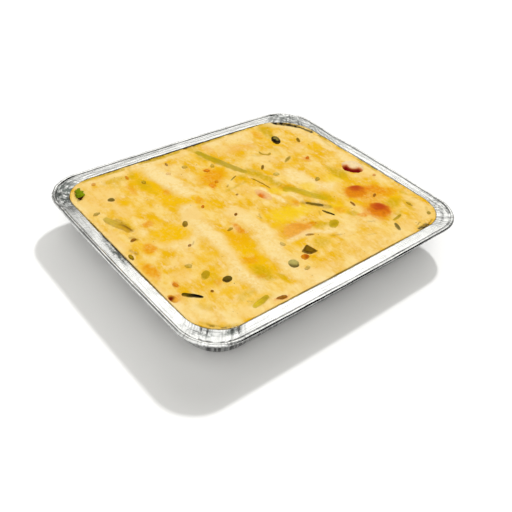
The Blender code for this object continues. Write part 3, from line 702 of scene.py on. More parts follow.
# Pale folds and dark lines, in millimetres of plan: half width, strength and the way each takes
STREAKS = {
    "pale": (
        (9, 0.95, (-57, 116), (-56, 92), (-52, 62), (-51, 46)),
        (5, 0.6, (-130, 112), (-90, 113), (-40, 113), (-8, 112)), (8, 0.75, (-63, 27), (-70, 12), (-67, -4)),
        (7, 0.8, (-71, -10), (-70, -48), (-78, -66), (-79, -92)),
        (8, 0.75, (-30, 0), (-27, -40), (-37, -66), (-38, -96), (-28, -112)),
        (8, 0.65, (24, 112), (46, 112), (70, 114)), (6, 0.5, (60, 112), (66, 96), (62, 84)),
        (6, 0.75, (112, 116), (126, 98), (135, 72), (138, 30), (136, 12)),
        (6, 0.45, (-98, -112), (-40, -113), (20, -113), (95, -112)),
        (7, 0.5, (-143, -74), (-136, -94), (-118, -109)), (3, 0.95, (19, 16), (20, 2), (23, -12)),
        (3, 0.6, (37, 8), (36, -6), (38, -20)), (8, 0.65, (-108, -6), (-98, -14), (-84, -10)),
        (8, 0.8, (62, 22), (68, 4), (66, -12), (84, -20)),
        (3.5, 0.85, (-14, -62), (2, -61), (14, -62), (28, -73)), (7, 0.5, (34, -82), (58, -74), (72, -84)),
        (4, 0.6, (-146, 92), (-147, 30), (-146, -60), (-147, -84)),
        (6, 0.5, (136, -76), (136, -96), (122, -108)), (5, 0.5, (-20, 60), (-36, 78), (-40, 100)),
        (6, 0.4, (-120, 20), (-112, -2)), (5, 0.5, (138, -2), (140, -40)),
        (5, 0.4, (36, 60), (52, 64), (66, 52)), (4, 0.5, (76, -56), (80, -60)), (4, 0.7, (56, 12), (62, 2)),
    ),
    "gold": (
        (7.5, 1.0, (-74, 103), (-74, 84), (-72, 64), (-68, 50), (-62, 37)),
    ),
    "olive": (
        (4, 0.25, (-78, 104), (-77, 84), (-75, 66)), (3, 0.4, (122, -70), (126, -80), (122, -90)),
        (1.6, 0.35, (-78, 104), (-74, 112), (-70, 117)),
        (3.2, 0.75, (24, 50), (30, 38), (34, 22), (38, 8), (45, 0)), (1.5, 0.5, (-15, 31), (0, 33), (14, 34)),
    ),
    "brown": (
        (0.5, 0.5, (103, -112), (112, -110)), (0.8, 0.5, (-9, 37), (-6, 39)),
        (0.6, 0.35, (-146, -16), (-144, -17)), (0.7, 0.4, (-12, -16), (-15, -22)),
        (0.6, 0.4, (-87, -16), (-90, -19)), (0.7, 0.35, (68, -82), (74, -85)),
        (0.8, 0.35, (22, -78), (32, -82)), (0.7, 0.3, (52, -97), (60, -99)), (0.7, 0.3, (60, 52), (57, 50)),
        (3.0, 0.45, (38, -25), (46, -34), (54, -44)), (2.2, 0.4, (-127, 46), (-124, 26)),
        (1.6, 0.4, (-130, 17), (-127, 12)), (1.4, 0.4, (-139, 3), (-137, -4)),
        (0.8, 0.35, (139, -78), (143, -81)), (0.6, 0.4, (-96, -101), (-93, -104)),
        (0.7, 0.3, (40, -44), (36, -50)),
    ),
}

# What shows where the food meets the foil: half width, strength and way of each stretch
EDGE_STRETCHES = {
    "olive": (
        (1.8, 0.75, (-122, 118), (-104, 118), (-78, 117)), (2.6, 0.85, (-58, 117.5), (-40, 117), (-12, 118)),
        (2.0, 0.7, (10, 118), (34, 118), (48, 118.5)), (1.6, 0.5, (55, 118.5), (90, 118.5)),
        (1.4, 0.5, (145, 62), (145.5, 48)), (1.2, 0.5, (146, 36), (146.5, 22)),
        (1.6, 0.7, (146, 4), (146, -14), (146, -22)), (1.4, 0.4, (-139, -100), (-131, -110), (-116, -117.5)),
        (0.9, 0.4, (-84, -118.4), (-52, -118.4)), (0.9, 0.4, (-20, -118.6), (8, -118.6)),
        (0.9, 0.35, (60, -118.4), (84, -118.4)), (1.6, 0.4, (132, -104), (138, -97)),
        (1.0, 0.4, (-147.2, 60), (-147.4, 44)), (1.0, 0.4, (-147.4, -20), (-147.4, -44)),
        (2.0, 0.4, (141, 52), (140, 42)),
    ),
    "brown": (
        (0.9, 0.45, (-56, 118.4), (-44, 118), (-30, 118.2)), (1.0, 0.8, (-4, 118.6), (3, 118.6), (11, 118.6)),
        (0.8, 0.5, (16, 118.6), (45, 118.8)), (0.9, 0.6, (60, 118.8), (63, 118.8)),
        (0.9, 0.3, (-120, 118.6), (-80, 118.4)), (0.9, 0.4, (146.8, -8), (147, -18)),
        (0.9, 0.5, (146.5, 60), (147, 54)), (0.7, 0.4, (-137, -103), (-128, -113), (-118, -118)),
        (0.8, 0.7, (116, -117), (126, -113.5)),
    ),
    "char": (
        (2.6, 1.0, (119.5, 116), (122.5, 111.5)), (3.6, 1.0, (122.5, 111.5), (127.5, 106.5), (132.5, 101)),
        (2.8, 1.0, (132.5, 101), (138, 94)), (1.8, 0.9, (138, 94), (141.5, 86)),
        (2.4, 0.95, (142, 82), (144, 76)), (2.4, 1.0, (104, -116.8), (109, -116.8), (114, -116.2)),
        (0.7, 0.6, (-130, -112.5), (-127, -114)), (0.7, 0.6, (-3, 118.6), (1, 118.6)),
        (0.8, 0.6, (145.8, 66), (146.8, 58)), (0.7, 0.5, (-136, -106), (-134, -108)),
    ),
}


def pool_mask(x, y, pools):
    """How strongly each place of the top takes a tone: soft pools that join where they meet."""
    bare = np.ones(len(x))
    for middle_x, middle_y, across, along, angle, strength in pools:
        turn = math.radians(angle)
        over = (x - middle_x) * math.cos(turn) + (y - middle_y) * math.sin(turn)
        up = (y - middle_y) * math.cos(turn) - (x - middle_x) * math.sin(turn)
        away = np.hypot(over / across, up / along)
        bare *= 1 - strength * (1 - smooth_step(away, 0.55, 1.35))
    return 1 - bare


def streak_mask(x, y, streaks, soft=0.7):
    """The same for soft lines along a way."""
    bare = np.ones(len(x))
    for half, strength, *way in streaks:
        away = np.full(len(x), 1e9)
        for start, end in zip(way, way[1:]):
            away = np.minimum(away, along_segment(x, y, start, end)[0])
        bare *= 1 - strength * (1 - smooth_step(away / half, 1 - soft, 1 + soft))
    return 1 - bare


TONE_ORDER = ("pale", "peach", "gold", "yellow", "olive", "orange", "brown", "char")


def joined(first, second):
    """Two masks laid over each other."""
    return 1 - (1 - first) * (1 - second)


def sauce_masks(x, y):
    """The tones of the sauce at each place, from 0 to 1."""
    x = x * 1000
    y = y * 1000
    warp_x = 3.0 * noise_at(x, y, 14, 11.0) + 1.4 * noise_at(x, y, 5, 12.0)
    warp_y = 3.0 * noise_at(x, y, 14, 13.0) + 1.4 * noise_at(x, y, 5, 14.0)
    fine_x = 0.7 * noise_at(x, y, 2.2, 15.0)
    fine_y = 0.7 * noise_at(x, y, 2.2, 16.0)
    loose = (x + warp_x + fine_x, y + warp_y + fine_y)
    tight = (x + fine_x, y + fine_y)
    masks = {}
    for tone in TONE_ORDER:
        streak_places = tight if tone == "brown" else loose
        mask = pool_mask(*loose, POOLS.get(tone, ()))
        mask = joined(mask, streak_mask(*streak_places, STREAKS.get(tone, ())))
        masks[tone] = joined(mask, streak_mask(*tight, EDGE_STRETCHES.get(tone, ()), 0.45))
    return masks


def pour_top():
    """The food's top as a fine flat sheet, cut to the mouth of the tray."""
    steps_x = round(MOUTH_SIZE[0] / FOOD_SPACING)
    steps_y = round(MOUTH_SIZE[1] / FOOD_SPACING)
    bpy.ops.mesh.primitive_grid_add(x_subdivisions=steps_x, y_subdivisions=steps_y, size=1,
                                    location=(0, 0, 0))
    food = new_piece("baked_top")
    bpy.ops.object.mode_set(mode="EDIT")
    bpy.ops.mesh.select_all(action="SELECT")
    bpy.ops.transform.resize(value=(MOUTH_SIZE[0], MOUTH_SIZE[1], 1), center_override=(0, 0, 0))
    bpy.ops.mesh.select_mode(type="VERT")
    bpy.ops.mesh.select_all(action="DESELECT")
    shape = bmesh.from_edit_mesh(food.data)
    places = np.array([vertex.co[:2] for vertex in shape.verts])
    inside = depth_inside(places[:, 0], places[:, 1]) - FOOD_INSET
    for vertex, depth in zip(shape.verts, inside):
        vertex.select_set(bool(depth < -FOOD_SPACING * 0.4))
    bmesh.update_edit_mesh(food.data)
    bpy.ops.mesh.delete(type="VERT")
    bpy.ops.object.mode_set(mode="OBJECT")
    return food


def settle_top(food):
    """Brings the edge of the sheet onto the wall, and raises its folds, lumps and bubbles."""
    points = points_of(food)
    x = points[:, 0]
    y = points[:, 1]
    edge = np.zeros(len(points), bool)
    shape = bmesh.new()
    shape.from_mesh(food.data)
    for vertex in shape.verts:
        edge[vertex.index] = vertex.is_boundary
    shape.free()
    step = 1e-5
    for _ in range(4):
        inside = depth_inside(x, y) - FOOD_INSET
        slope_x = (depth_inside(x + step, y) - depth_inside(x - step, y)) / (2 * step)
        slope_y = (depth_inside(x, y + step) - depth_inside(x, y - step)) / (2 * step)
        x = np.where(edge, x - slope_x * inside, x)
        y = np.where(edge, y - slope_y * inside, y)
    inside = depth_inside(x, y) - FOOD_INSET
    level = top_level(x, y)
    shelter = smooth_step(inside, 0.001, 0.008)
    level += shelter * 0.00030 * noise_at(x, y, 0.0065, 21.0)
    level += shelter * 0.00016 * noise_at(x, y, 0.0026, 22.0)
    bubbles = np.array([noise.voronoi(Vector((a / BUBBLE_SIZE, b / BUBBLE_SIZE, 3.0)))[0][0]
                        for a, b in zip(x, y)])
    level += shelter * 0.00022 * np.clip(0.35 - bubbles, 0, 1) / 0.35
    film = FILM_HEIGHT * np.exp(-np.maximum(inside, 0) / FILM_REACH)
    film = film * (0.9 + 0.4 * noise_at(x, y, 0.009, 23.0))
    level = np.where(inside < 0.003, np.minimum(level + film, FLANGE_LEVEL - 0.0002), level + film)
    set_points(food, np.column_stack([x, y, level]))


def select_open_edge():
    bpy.ops.mesh.select_mode(type="EDGE")
    bpy.ops.mesh.select_all(action="DESELECT")
    bpy.ops.mesh.select_non_manifold(extend=False)


def close_food(food):
    """Draws the edge of the top down inside the wall and closes it over the base."""
    select_only(food)
    bpy.ops.object.mode_set(mode="EDIT")
    select_open_edge()
    draft = (MOUTH_SIZE[0] - BASE_SIZE[0]) / 2 / FLANGE_LEVEL
    for drop, inward in SIDE_STEPS:
        bpy.ops.mesh.extrude_edges_move(TRANSFORM_OT_translate={"value": (0, 0, -drop)})
        shrink_x = 1 - 2 * (draft * drop + inward) / MOUTH_SIZE[0]
        shrink_y = 1 - 2 * (draft * drop + inward) / MOUTH_SIZE[1]
        bpy.ops.transform.resize(value=(shrink_x, shrink_y, 1), center_override=(0, 0, 0))
    bpy.ops.mesh.extrude_edges_move(TRANSFORM_OT_translate={"value": (0, 0, 0)})
    bpy.ops.transform.resize(value=(0.96, 0.95, 1), center_override=(0, 0, 0))
    bpy.ops.mesh.edge_face_add()
    bpy.ops.object.mode_set(mode="OBJECT")


# The sauce's tones, as they look under the lamps
SAUCE_TONES = {
    "base_light": (248, 212, 124),
    "base_deep": (236, 179, 30),
    "pale": (251, 224, 160),
    "peach": (248, 208, 128),
    "gold": (243, 188, 0),
    "olive": (206, 166, 2),
    "orange": (230, 130, 6),
    "yellow": (248, 210, 44),
    "brown": (118, 78, 22),
    "char": (26, 15, 8),
}
CLOUD_GOLD = (240, 184, 8)
CLOUD_PALE = (252, 222, 162)
LAMP_GAIN = 1.16
LAMP_SHEEN = 0.006


def food_tone(red, green, blue):
    """A tone of food as it looks under the lamps, turned into the colour that the shader wants."""
    return (*[max(part - LAMP_SHEEN, 0.001) / LAMP_GAIN for part in linear(red, green, blue)[:3]], 1)


def sauce_group():
    """Sauce colour and grain, from the masks that say which tone each place takes."""
    group = bpy.data.node_groups.new("sauce_tones", "ShaderNodeTree")
    for tone in TONE_ORDER:
        group.interface.new_socket(name=tone, in_out="INPUT", socket_type="NodeSocketFloat")
    group.interface.new_socket(name="Color", in_out="OUTPUT", socket_type="NodeSocketColor")
    group.interface.new_socket(name="Grain", in_out="OUTPUT", socket_type="NodeSocketFloat")
    masks = group.nodes.new("NodeGroupInput")
    result = group.nodes.new("NodeGroupOutput")
    blotch = piece_noise(group, 70, 5, 0.66, (1, 0.6, 1))
    colour = two_tones(group, blotch, 0.40, food_tone(*SAUCE_TONES["base_deep"]),
                       0.57, food_tone(*SAUCE_TONES["base_light"]))
    fine = piece_noise(group, 330, 4, 0.6)
    reach = spread(group, fine, 0.35, 0.65, 0.55, 1.25)
    clouds = piece_noise(group, 170, 4, 0.65, (1, 0.6, 1))
    colour = mix_over(group, colour, spread(group, clouds, 0.50, 0.66, 0, 0.6), food_tone(*CLOUD_GOLD))
    colour = mix_over(group, colour, spread(group, clouds, 0.46, 0.34, 0, 0.55), food_tone(*CLOUD_PALE))
    for tone in TONE_ORDER:
        broken = worked_out(group, "MULTIPLY", masks.outputs[tone], reach, clamp=True)
        colour = mix_over(group, colour, broken, food_tone(*SAUCE_TONES[tone]))
    group.links.new(colour, result.inputs["Color"])
    group.links.new(fine, result.inputs["Grain"])
    return group


def place_sauce(tree):
    """The sauce's colour and grain in a material, fed by the piece's own masks."""
    node = tree.nodes.new("ShaderNodeGroup")
    node.node_tree = bpy.data.node_groups["sauce_tones"]
    for tone in TONE_ORDER:
        tree.links.new(mask_node(tree, tone), node.inputs[tone])
    return node


def sauce_material():
    made, tree, shader = new_material("baked_cream_sauce", 0.42)
    sauce = place_sauce(tree)
    tree.links.new(sauce.outputs["Color"], shader.inputs["Base Color"])
    tree.links.new(spread(tree, sauce.outputs["Grain"], 0.3, 0.7, 0.34, 0.55), shader.inputs["Roughness"])
    add_bump(tree, shader, sauce.outputs["Grain"], 0.35, 0.0004)
    shader.inputs["Specular IOR Level"].default_value = 0.02
    return made


sauce_group()
baked_top = pour_top()
settle_top(baked_top)
close_food(baked_top)
faces_out(baked_top)
top_points = points_of(baked_top)
add_masks(baked_top, sauce_masks(top_points[:, 0], top_points[:, 1]))
FINISHES["sauce"] = sauce_material()
finish_piece(baked_top, ["bake"], "sauce")


# Carrots: slices and a cube of cooked carrot that lie in the sauce, with cream run over their edges. One
# stands proud under a coat of cream, and its near edge has burnt to a dark crescent.

PIECE_RINGS = 7
PIECE_SIDES = 44
WAY_STEPS = 60


def close_below():
    """Draws the open edge of the piece that is being edited down by one, and closes it there."""
    select_open_edge()
    bpy.ops.mesh.extrude_edges_move(TRANSFORM_OT_translate={"value": (0, 0, -1)})
    bpy.ops.mesh.edge_face_add()
    bpy.ops.object.mode_set(mode="OBJECT")


def blank_disc(name):
    """A flat disc of radius 1, inset ring by ring, with its edge drawn down and closed below."""
    bpy.ops.mesh.primitive_circle_add(vertices=PIECE_SIDES, radius=1, fill_type="NGON", location=(0, 0, 0))
    piece = new_piece(name)
    bpy.ops.object.mode_set(mode="EDIT")
    bpy.ops.mesh.select_mode(type="FACE")
    bpy.ops.mesh.select_all(action="SELECT")
    for ring in range(PIECE_RINGS):
        bpy.ops.mesh.inset(thickness=0.03 if ring == 0 else 0.94 / PIECE_RINGS)
    bpy.ops.mesh.poke()
    close_below()
    return piece


def blank_strip(name, long_steps, cross_steps):
    """A flat strip from -1 to 1 each way, with its edge drawn down and closed below."""
    bpy.ops.mesh.primitive_grid_add(x_subdivisions=long_steps, y_subdivisions=cross_steps, size=2,
                                    location=(0, 0, 0))
    piece = new_piece(name)
    bpy.ops.object.mode_set(mode="EDIT")
    close_below()
    return piece


def oval(across, along, angle=0, uneven=0.05, seed=1.0):
    """The reach of a slightly uneven oval in each direction."""

    def reach(turn):
        local = turn - math.radians(angle)
        size = 1 / np.hypot(np.cos(local) / across, np.sin(local) / along)
        round_x = np.cos(turn)
        round_y = np.sin(turn)
        wobble = noise_at(round_x, round_y, 0.9, seed) + 0.5 * noise_at(round_x, round_y, 0.35, seed)
        return size * (1 + uneven * wobble)

    return reach


def cornered(middle, places, round_share=0.12):
    """The reach of a shape with corners in each direction, seen from its middle."""
    loop = [*places, places[0]]
    dense = []
    for start, end in zip(loop, loop[1:]):
        for step in range(40):
            share = step / 40
            dense.append((start[0] + (end[0] - start[0]) * share, start[1] + (end[1] - start[1]) * share))
    dense = np.array(dense) - middle
    width = max(3, int(len(dense) * round_share / 2) * 2 + 1)
    padded = np.concatenate([dense[-width:], dense, dense[:width]])
    kernel = np.hanning(width + 2)[1:-1]
    kernel /= kernel.sum()
    soft = np.column_stack([np.convolve(padded[:, axis], kernel, "same") for axis in (0, 1)])[width:-width]
    turns = np.arctan2(soft[:, 1], soft[:, 0])
    order = np.argsort(turns)
    turns = turns[order]
    sizes = np.hypot(*soft.T)[order]

    def reach(turn):
        wrapped = (turn + math.pi) % (2 * math.pi) - math.pi
        return np.interp(wrapped, turns, sizes, period=2 * math.pi)

    return reach


def lay_disc(piece, middle, reach, proud, sunk, lumps=0.0003, tilt=(0, 0), dip=0.0003, edge=3.2):
    """Lays a disc in the food's top: its place in plan, and its edge just under the sauce."""
    points = points_of(piece)
    under = points[:, 2] < -0.5
    out = np.hypot(points[:, 0], points[:, 1])
    turn = np.arctan2(points[:, 1], points[:, 0])
    size = reach(turn)
    x = middle[0] + np.cos(turn) * out * size
    y = middle[1] + np.sin(turn) * out * size
    base = top_level(x, y)
    lean = (x - middle[0]) * tilt[0] + (y - middle[1]) * tilt[1]
    rise = (proud * 0.75 + dip) * (1 - out**edge) - dip
    rough = lumps * (noise_at(x, y, 0.006, 31.0) + 0.5 * noise_at(x, y, 0.0026, 32.0)) * (1 - out**6)
    z = np.where(under, base - sunk, base + rise + rough + lean * (1 - out**8))
    set_points(piece, np.column_stack([x, y, z]))
    faces_out(piece)
    return x, y, out, turn


def smooth_way(points, steps):
    """Places and directions along a smooth curve through given points."""
    route = [np.array(point) for point in points]
    ends = [route[0] * 2 - route[1], *route, route[-1] * 2 - route[-2]]
    places = []
    for step in range(steps + 1):
        along = step / steps * (len(route) - 1)
        part = min(int(along), len(route) - 2)
        t = along - part
        a, b, c, d = ends[part : part + 4]
        places.append(0.5 * (2 * b + (c - a) * t + (2 * a - 5 * b + 4 * c - d) * t**2
                             + (3 * b - a - 3 * c + d) * t**3))
    places = np.array(places)
    ways = np.gradient(places, axis=0)
    return places, ways / np.linalg.norm(ways, axis=1)[:, None]


def followed(points, share):
    """The place and the direction at each share of the way along a smooth curve."""
    steps = np.arange(WAY_STEPS + 1)
    index = share * WAY_STEPS
    return [np.column_stack([np.interp(index, steps, table[:, axis]) for axis in (0, 1)])
            for table in smooth_way(points, WAY_STEPS)]


def lay_strip(piece, points, width, proud, sunk, blunt=0.6, lumps=0.0002, ribs=0.0, dip=0.0004, ragged=0.12):
    """Lays a strip in the food's top along a way, crowned across and narrower at its ends."""
    flat = points_of(piece)
    under = flat[:, 2] < -0.5
    share = (flat[:, 0] + 1) / 2
    middle, way = followed(points, share)
    side = np.column_stack([-way[:, 1], way[:, 0]])
    half = width / 2 * (blunt + (1 - blunt) * np.sin(math.pi * share) ** 0.5)
    half *= np.sqrt(np.clip(1 - np.abs(flat[:, 0]) ** 8, 0.05, 1))
    edge_noise = noise_at(middle[:, 0] + flat[:, 1] * 0.01, middle[:, 1], 0.004, 41.0)
    half *= 1 + ragged * edge_noise
    plan = middle + side * (flat[:, 1] * half)[:, None]
    x = plan[:, 0]
    y = plan[:, 1]
    base = top_level(x, y)
    crown = (1 - np.abs(flat[:, 1]) ** 2.4) * (1 - np.abs(flat[:, 0]) ** 6)
    ribbed = np.cos(flat[:, 1] * 11 + noise_at(x, y, 0.02, 34.0) * 3)
    rough = lumps * noise_at(x, y, 0.005, 33.0) + ribs * ribbed
    z = np.where(under, base - sunk, base - dip + (proud * 0.75 + dip) * crown + rough * crown)
    set_points(piece, np.column_stack([x, y, z]))
    faces_out(piece)
    return x, y, share, flat[:, 1]


def blend_tones(low, high, share):
    """A tint for each place between two tones."""
    low_tint = np.array(food_tone(*low)[:3])
    high_tint = np.array(food_tone(*high)[:3])
    return low_tint + (high_tint - low_tint) * np.clip(share, 0, 1)[:, None]


def toward(tint, tone, share):
    """A tint moved part of the way to a tone, by the share at each place."""
    return tint + (np.array(food_tone(*tone)[:3]) - tint) * share[:, None]


def coat_between(middle_coat, edge_coat, share):
    """How far cream covers each place, from the middle of a piece to its edge."""
    return middle_coat + (edge_coat - middle_coat) * share


def tint_piece(piece, x, y, tint, coat):
    """Stores a piece's own tint, how far cream covers it and the tones of that cream."""
    layer = piece.data.attributes.new("tint", "FLOAT_COLOR", "POINT")
    layer.data.foreach_set("color", np.column_stack([tint, np.ones(len(tint))]).astype(np.float32).ravel())
    add_masks(piece, {**sauce_masks(x, y), "coat": np.clip(coat, 0, 1)})


def vegetable_material(name, roughness, fibre, fibre_depth):
    """Cooked vegetable: its own tint, mottled or fibred, under the cream that covers part of it."""
    made, tree, shader = new_material(name, roughness)
    tint = tree.nodes.new("ShaderNodeAttribute")
    tint.attribute_name = "tint"
    mottle = piece_noise(tree, fibre, 4, 0.6)
    shade = 1 - fibre_depth
    darker = tree.nodes.new("ShaderNodeMix")
    darker.data_type = "RGBA"
    darker.blend_type = "MULTIPLY"
    darker.inputs["Factor"].default_value = 1.0
    tree.links.new(tint.outputs["Color"], darker.inputs[BELOW])
    shades = two_tones(tree, mottle, 0.30, (shade, shade, shade, 1), 0.62, (1, 1, 1, 1))
    tree.links.new(shades, darker.inputs[ABOVE])
    sauce = place_sauce(tree)
    colour = mix_over(tree, darker.outputs[MIXED], mask_node(tree, "coat"), sauce.outputs["Color"])
    tree.links.new(colour, shader.inputs["Base Color"])
    dryness = spread(tree, mottle, 0.3, 0.7, roughness - 0.08, roughness + 0.1)
    tree.links.new(dryness, shader.inputs["Roughness"])
    add_bump(tree, shader, mottle, 0.3, 0.0003)
    shader.inputs["Specular IOR Level"].default_value = 0.03
    return made


FINISHES["carrot"] = vegetable_material("cooked_carrot", 0.36, 420, 0.18)

# The outline of a half slice whose other half lies under the cream
HALF_SLICE = cornered(np.array((0.001, -0.0525)), [
    (0.001 + 0.0182 * math.cos(math.radians(turn)), -0.060 + 0.0182 * math.sin(math.radians(turn)))
    for turn in range(5, 186, 12)
], 0.06)

# Middle, shape and height of each piece, its deepest place, its deep and light tone, and the cream over its
# middle and edge
CARROTS = {
    "carrot_slice_2": ((0.096, -0.039), oval(0.0158, 0.0112, 8, 0.06, 2.0), 0.0016, (0.101, -0.0345),
                       (198, 82, 0), (234, 140, 4), 0.0, 1.0),
    "carrot_slice_3": ((0.0925, -0.0745), oval(0.0148, 0.0134, 20, 0.06, 3.0), 0.0016, (0.0965, -0.0715),
                       (196, 78, 0), (232, 134, 2), 0.0, 1.0),
    "carrot_slice_4": ((0.001, -0.0525), HALF_SLICE, 0.0012, (0.010, -0.0500),
                       (238, 158, 50), (244, 172, 66), 0.05, 0.90),
    "carrot_slice_5": ((0.0125, 0.0065), oval(0.0066, 0.0116, 6, 0.05, 5.0), 0.0014, (0.0070, 0.0050),
                       (232, 122, 20), (249, 196, 128), 0.0, 0.40),
    "carrot_slice_6": ((0.0295, -0.0165), oval(0.0072, 0.0114, -6, 0.05, 6.0), 0.0010, (0.0320, -0.0225),
                       (240, 160, 30), (248, 196, 76), 0.25, 0.80),
    "carrot_cube_1": ((-0.0188, -0.0868), oval(0.0048, 0.0036, 8, 0.10, 7.0), 0.0022, (-0.0180, -0.0880),
                      (186, 90, 4), (226, 140, 20), 0.0, 0.40),
    "carrot_bit_1": ((-0.1424, -0.0655), oval(0.0036, 0.0062, 8, 0.08, 8.0), 0.0014, (-0.1440, -0.0650),
                     (120, 40, 4), (242, 170, 60), 0.0, 0.50),
}

for name, (middle, reach, proud, deepest, deep, light, middle_coat, edge_coat) in CARROTS.items():
    slice_piece = blank_disc("cooked_" + name)
    x, y, out, turn = lay_disc(slice_piece, middle, reach, proud, 0.0025)
    width = float(np.mean(reach(np.linspace(0, 6, 12))))
    away = np.hypot(x - deepest[0], y - deepest[1]) / width
    uneven = away + 0.2 * noise_at(x, y, 0.004, 51.0)
    tint = blend_tones(deep, light, smooth_step(uneven, 0.15, 1.0))
    ragged = out + 0.14 * noise_at(x, y, 0.005, 52.0)
    tint_piece(slice_piece, x, y, tint, coat_between(middle_coat, edge_coat, smooth_step(ragged, 0.65, 1.0)))
    finish_piece(slice_piece, [name], "carrot")

mound = blank_disc("cooked_carrot_slice_1")
x, y, out, turn = lay_disc(mound, (0.129, -0.004), oval(0.0125, 0.0125, 0, 0.04, 1.0), 0.0032, 0.0030,
                           tilt=(0.05, 0.05), edge=4.0)
burnt_side = np.cos(turn - math.radians(218))
burnt = smooth_step(burnt_side + 0.12 * noise_at(x, y, 0.004, 53.0), 0.10, 0.70)
burnt = burnt * smooth_step(out, 0.42, 0.66)
glow = smooth_step(burnt_side, -0.15, 0.45) * smooth_step(out, 0.30, 0.60)
cream = np.tile(np.array(food_tone(250, 222, 172)[:3]), (len(x), 1))
tint = toward(toward(cream, (236, 124, 36), glow * 0.9), (122, 18, 0), burnt)
tint_piece(mound, x, y, tint, 0.45 * smooth_step(out, 0.9, 1.0) * (1 - burnt))
finish_piece(mound, ["carrot_slice_1"], "carrot")


# Leek, beans and herbs: soft strips of leek, a split bean pod, and stalks and sprigs of herb, all sunk a
# little way in the sauce, ribbed along their length and darker where they dried in the oven.

FINISHES["leek"] = vegetable_material("cooked_leek", 0.40, 300, 0.22)
FINISHES["green"] = vegetable_material("cooked_green", 0.42, 500, 0.25)
FINISHES["dark_green"] = vegetable_material("dried_herb", 0.45, 600, 0.45)

# Way, width, height, slot, tone at the start and end, cream in the middle and at the edge, and ribs
STRIPS = {
    "leek_strip_1": (((0.0055, 0.111), (0.006, 0.096), (0.0115, 0.080), (0.0175, 0.062), (0.0255, 0.044)),
                     0.0115, 0.0012, "leek", (190, 164, 2), (188, 158, 0), 0.20, 1.0, 0.00012),
    "leek_strip_2": (((0.033, 0.004), (0.044, -0.004), (0.052, -0.018), (0.063, -0.036)),
                     0.0120, 0.0012, "leek", (204, 170, 2), (214, 180, 6), 0.20, 1.0, 0.00012),
    "leek_strip_3": (((-0.097, -0.1095), (-0.087, -0.1080), (-0.077, -0.1055)),
                     0.0066, 0.0012, "leek", (224, 192, 24), (196, 166, 8), 0.15, 0.80, 0.00010),
    "leek_strip_4": (((0.0905, -0.0942), (0.098, -0.0930), (0.106, -0.0912)),
                     0.0040, 0.0010, "green", (198, 164, 34), (180, 146, 14), 0.15, 0.80, 0.00006),
    "leek_ring_1": (((0.0620, 0.0735), (0.0615, 0.066), (0.067, 0.0625), (0.0725, 0.0655)),
                    0.0038, 0.0010, "green", (186, 148, 24), (190, 154, 40), 0.20, 0.85, 0.00004),
    "bean_pod_1": (((-0.1345, 0.057), (-0.132, 0.044), (-0.1275, 0.032), (-0.1245, 0.023)),
                   0.0094, 0.0013, "leek", (212, 178, 56), (206, 152, 4), 0.20, 0.95, 0.00008),
    "herb_sprig_1": (((0.0385, -0.0255), (0.0445, -0.0335), (0.0515, -0.0395)),
                     0.0052, 0.0014, "dark_green", (120, 98, 24), (104, 88, 30), 0.10, 0.80, 0.00008),
    "herb_sprig_2": (((0.0435, -0.0435), (0.0460, -0.0500), (0.0490, -0.0572)),
                     0.0030, 0.0012, "dark_green", (104, 90, 40), (64, 50, 16), 0.0, 0.50, 0.00003),
    "herb_stalk_1": (((0.0205, 0.0365), (0.0243, 0.024), (0.0262, 0.010)),
                     0.0018, 0.0008, "dark_green", (160, 128, 20), (176, 130, 14), 0.20, 0.60, 0.0),
    "herb_stalk_2": (((0.0010, 0.0440), (0.0060, 0.0462), (0.0122, 0.0482)),
                     0.0020, 0.0008, "dark_green", (176, 158, 70), (120, 98, 24), 0.20, 0.60, 0.0),
    "dark_leaf_2": (((-0.1345, -0.0655), (-0.1300, -0.0710), (-0.1215, -0.0795)),
                    0.0050, 0.0014, "dark_green", (108, 88, 20), (16, 11, 4), 0.0, 0.45, 0.00006),
}

for name, (way, width, proud, slot, start_tone, end_tone, middle_coat, edge_coat, ribs) in STRIPS.items():
    strip_piece = blank_strip("cooked_" + name, 46, 12)
    x, y, share, across = lay_strip(strip_piece, way, width, proud, 0.0018, ribs=ribs)
    tint = blend_tones(start_tone, end_tone, smooth_step(share, 0.25, 0.75))
    lines = 0.5 + 0.5 * np.cos(across * 9 + 2 * noise_at(x, y, 0.012, 54.0))
    tint = tint * (1 - 0.14 * lines * (1 - np.abs(across)))[:, None]
    if name == "bean_pod_1":
        line = np.exp(-(((across - 0.30) / 0.26) ** 2)) * smooth_step(share, 0.40, 0.65)
        tint = toward(tint, (112, 76, 4), 0.9 * line)
        outline = smooth_step(np.abs(across), 0.45, 0.80) * (1 - smooth_step(share, 0.30, 0.50))
        tint = toward(tint, (146, 116, 24), 0.8 * outline)
    ragged = np.maximum(np.abs(across), np.abs(2 * share - 1) ** 3) + 0.14 * noise_at(x, y, 0.004, 55.0)
    tint_piece(strip_piece, x, y, tint, coat_between(middle_coat, edge_coat, smooth_step(ragged, 0.50, 1.0)))
    finish_piece(strip_piece, [name], slot)

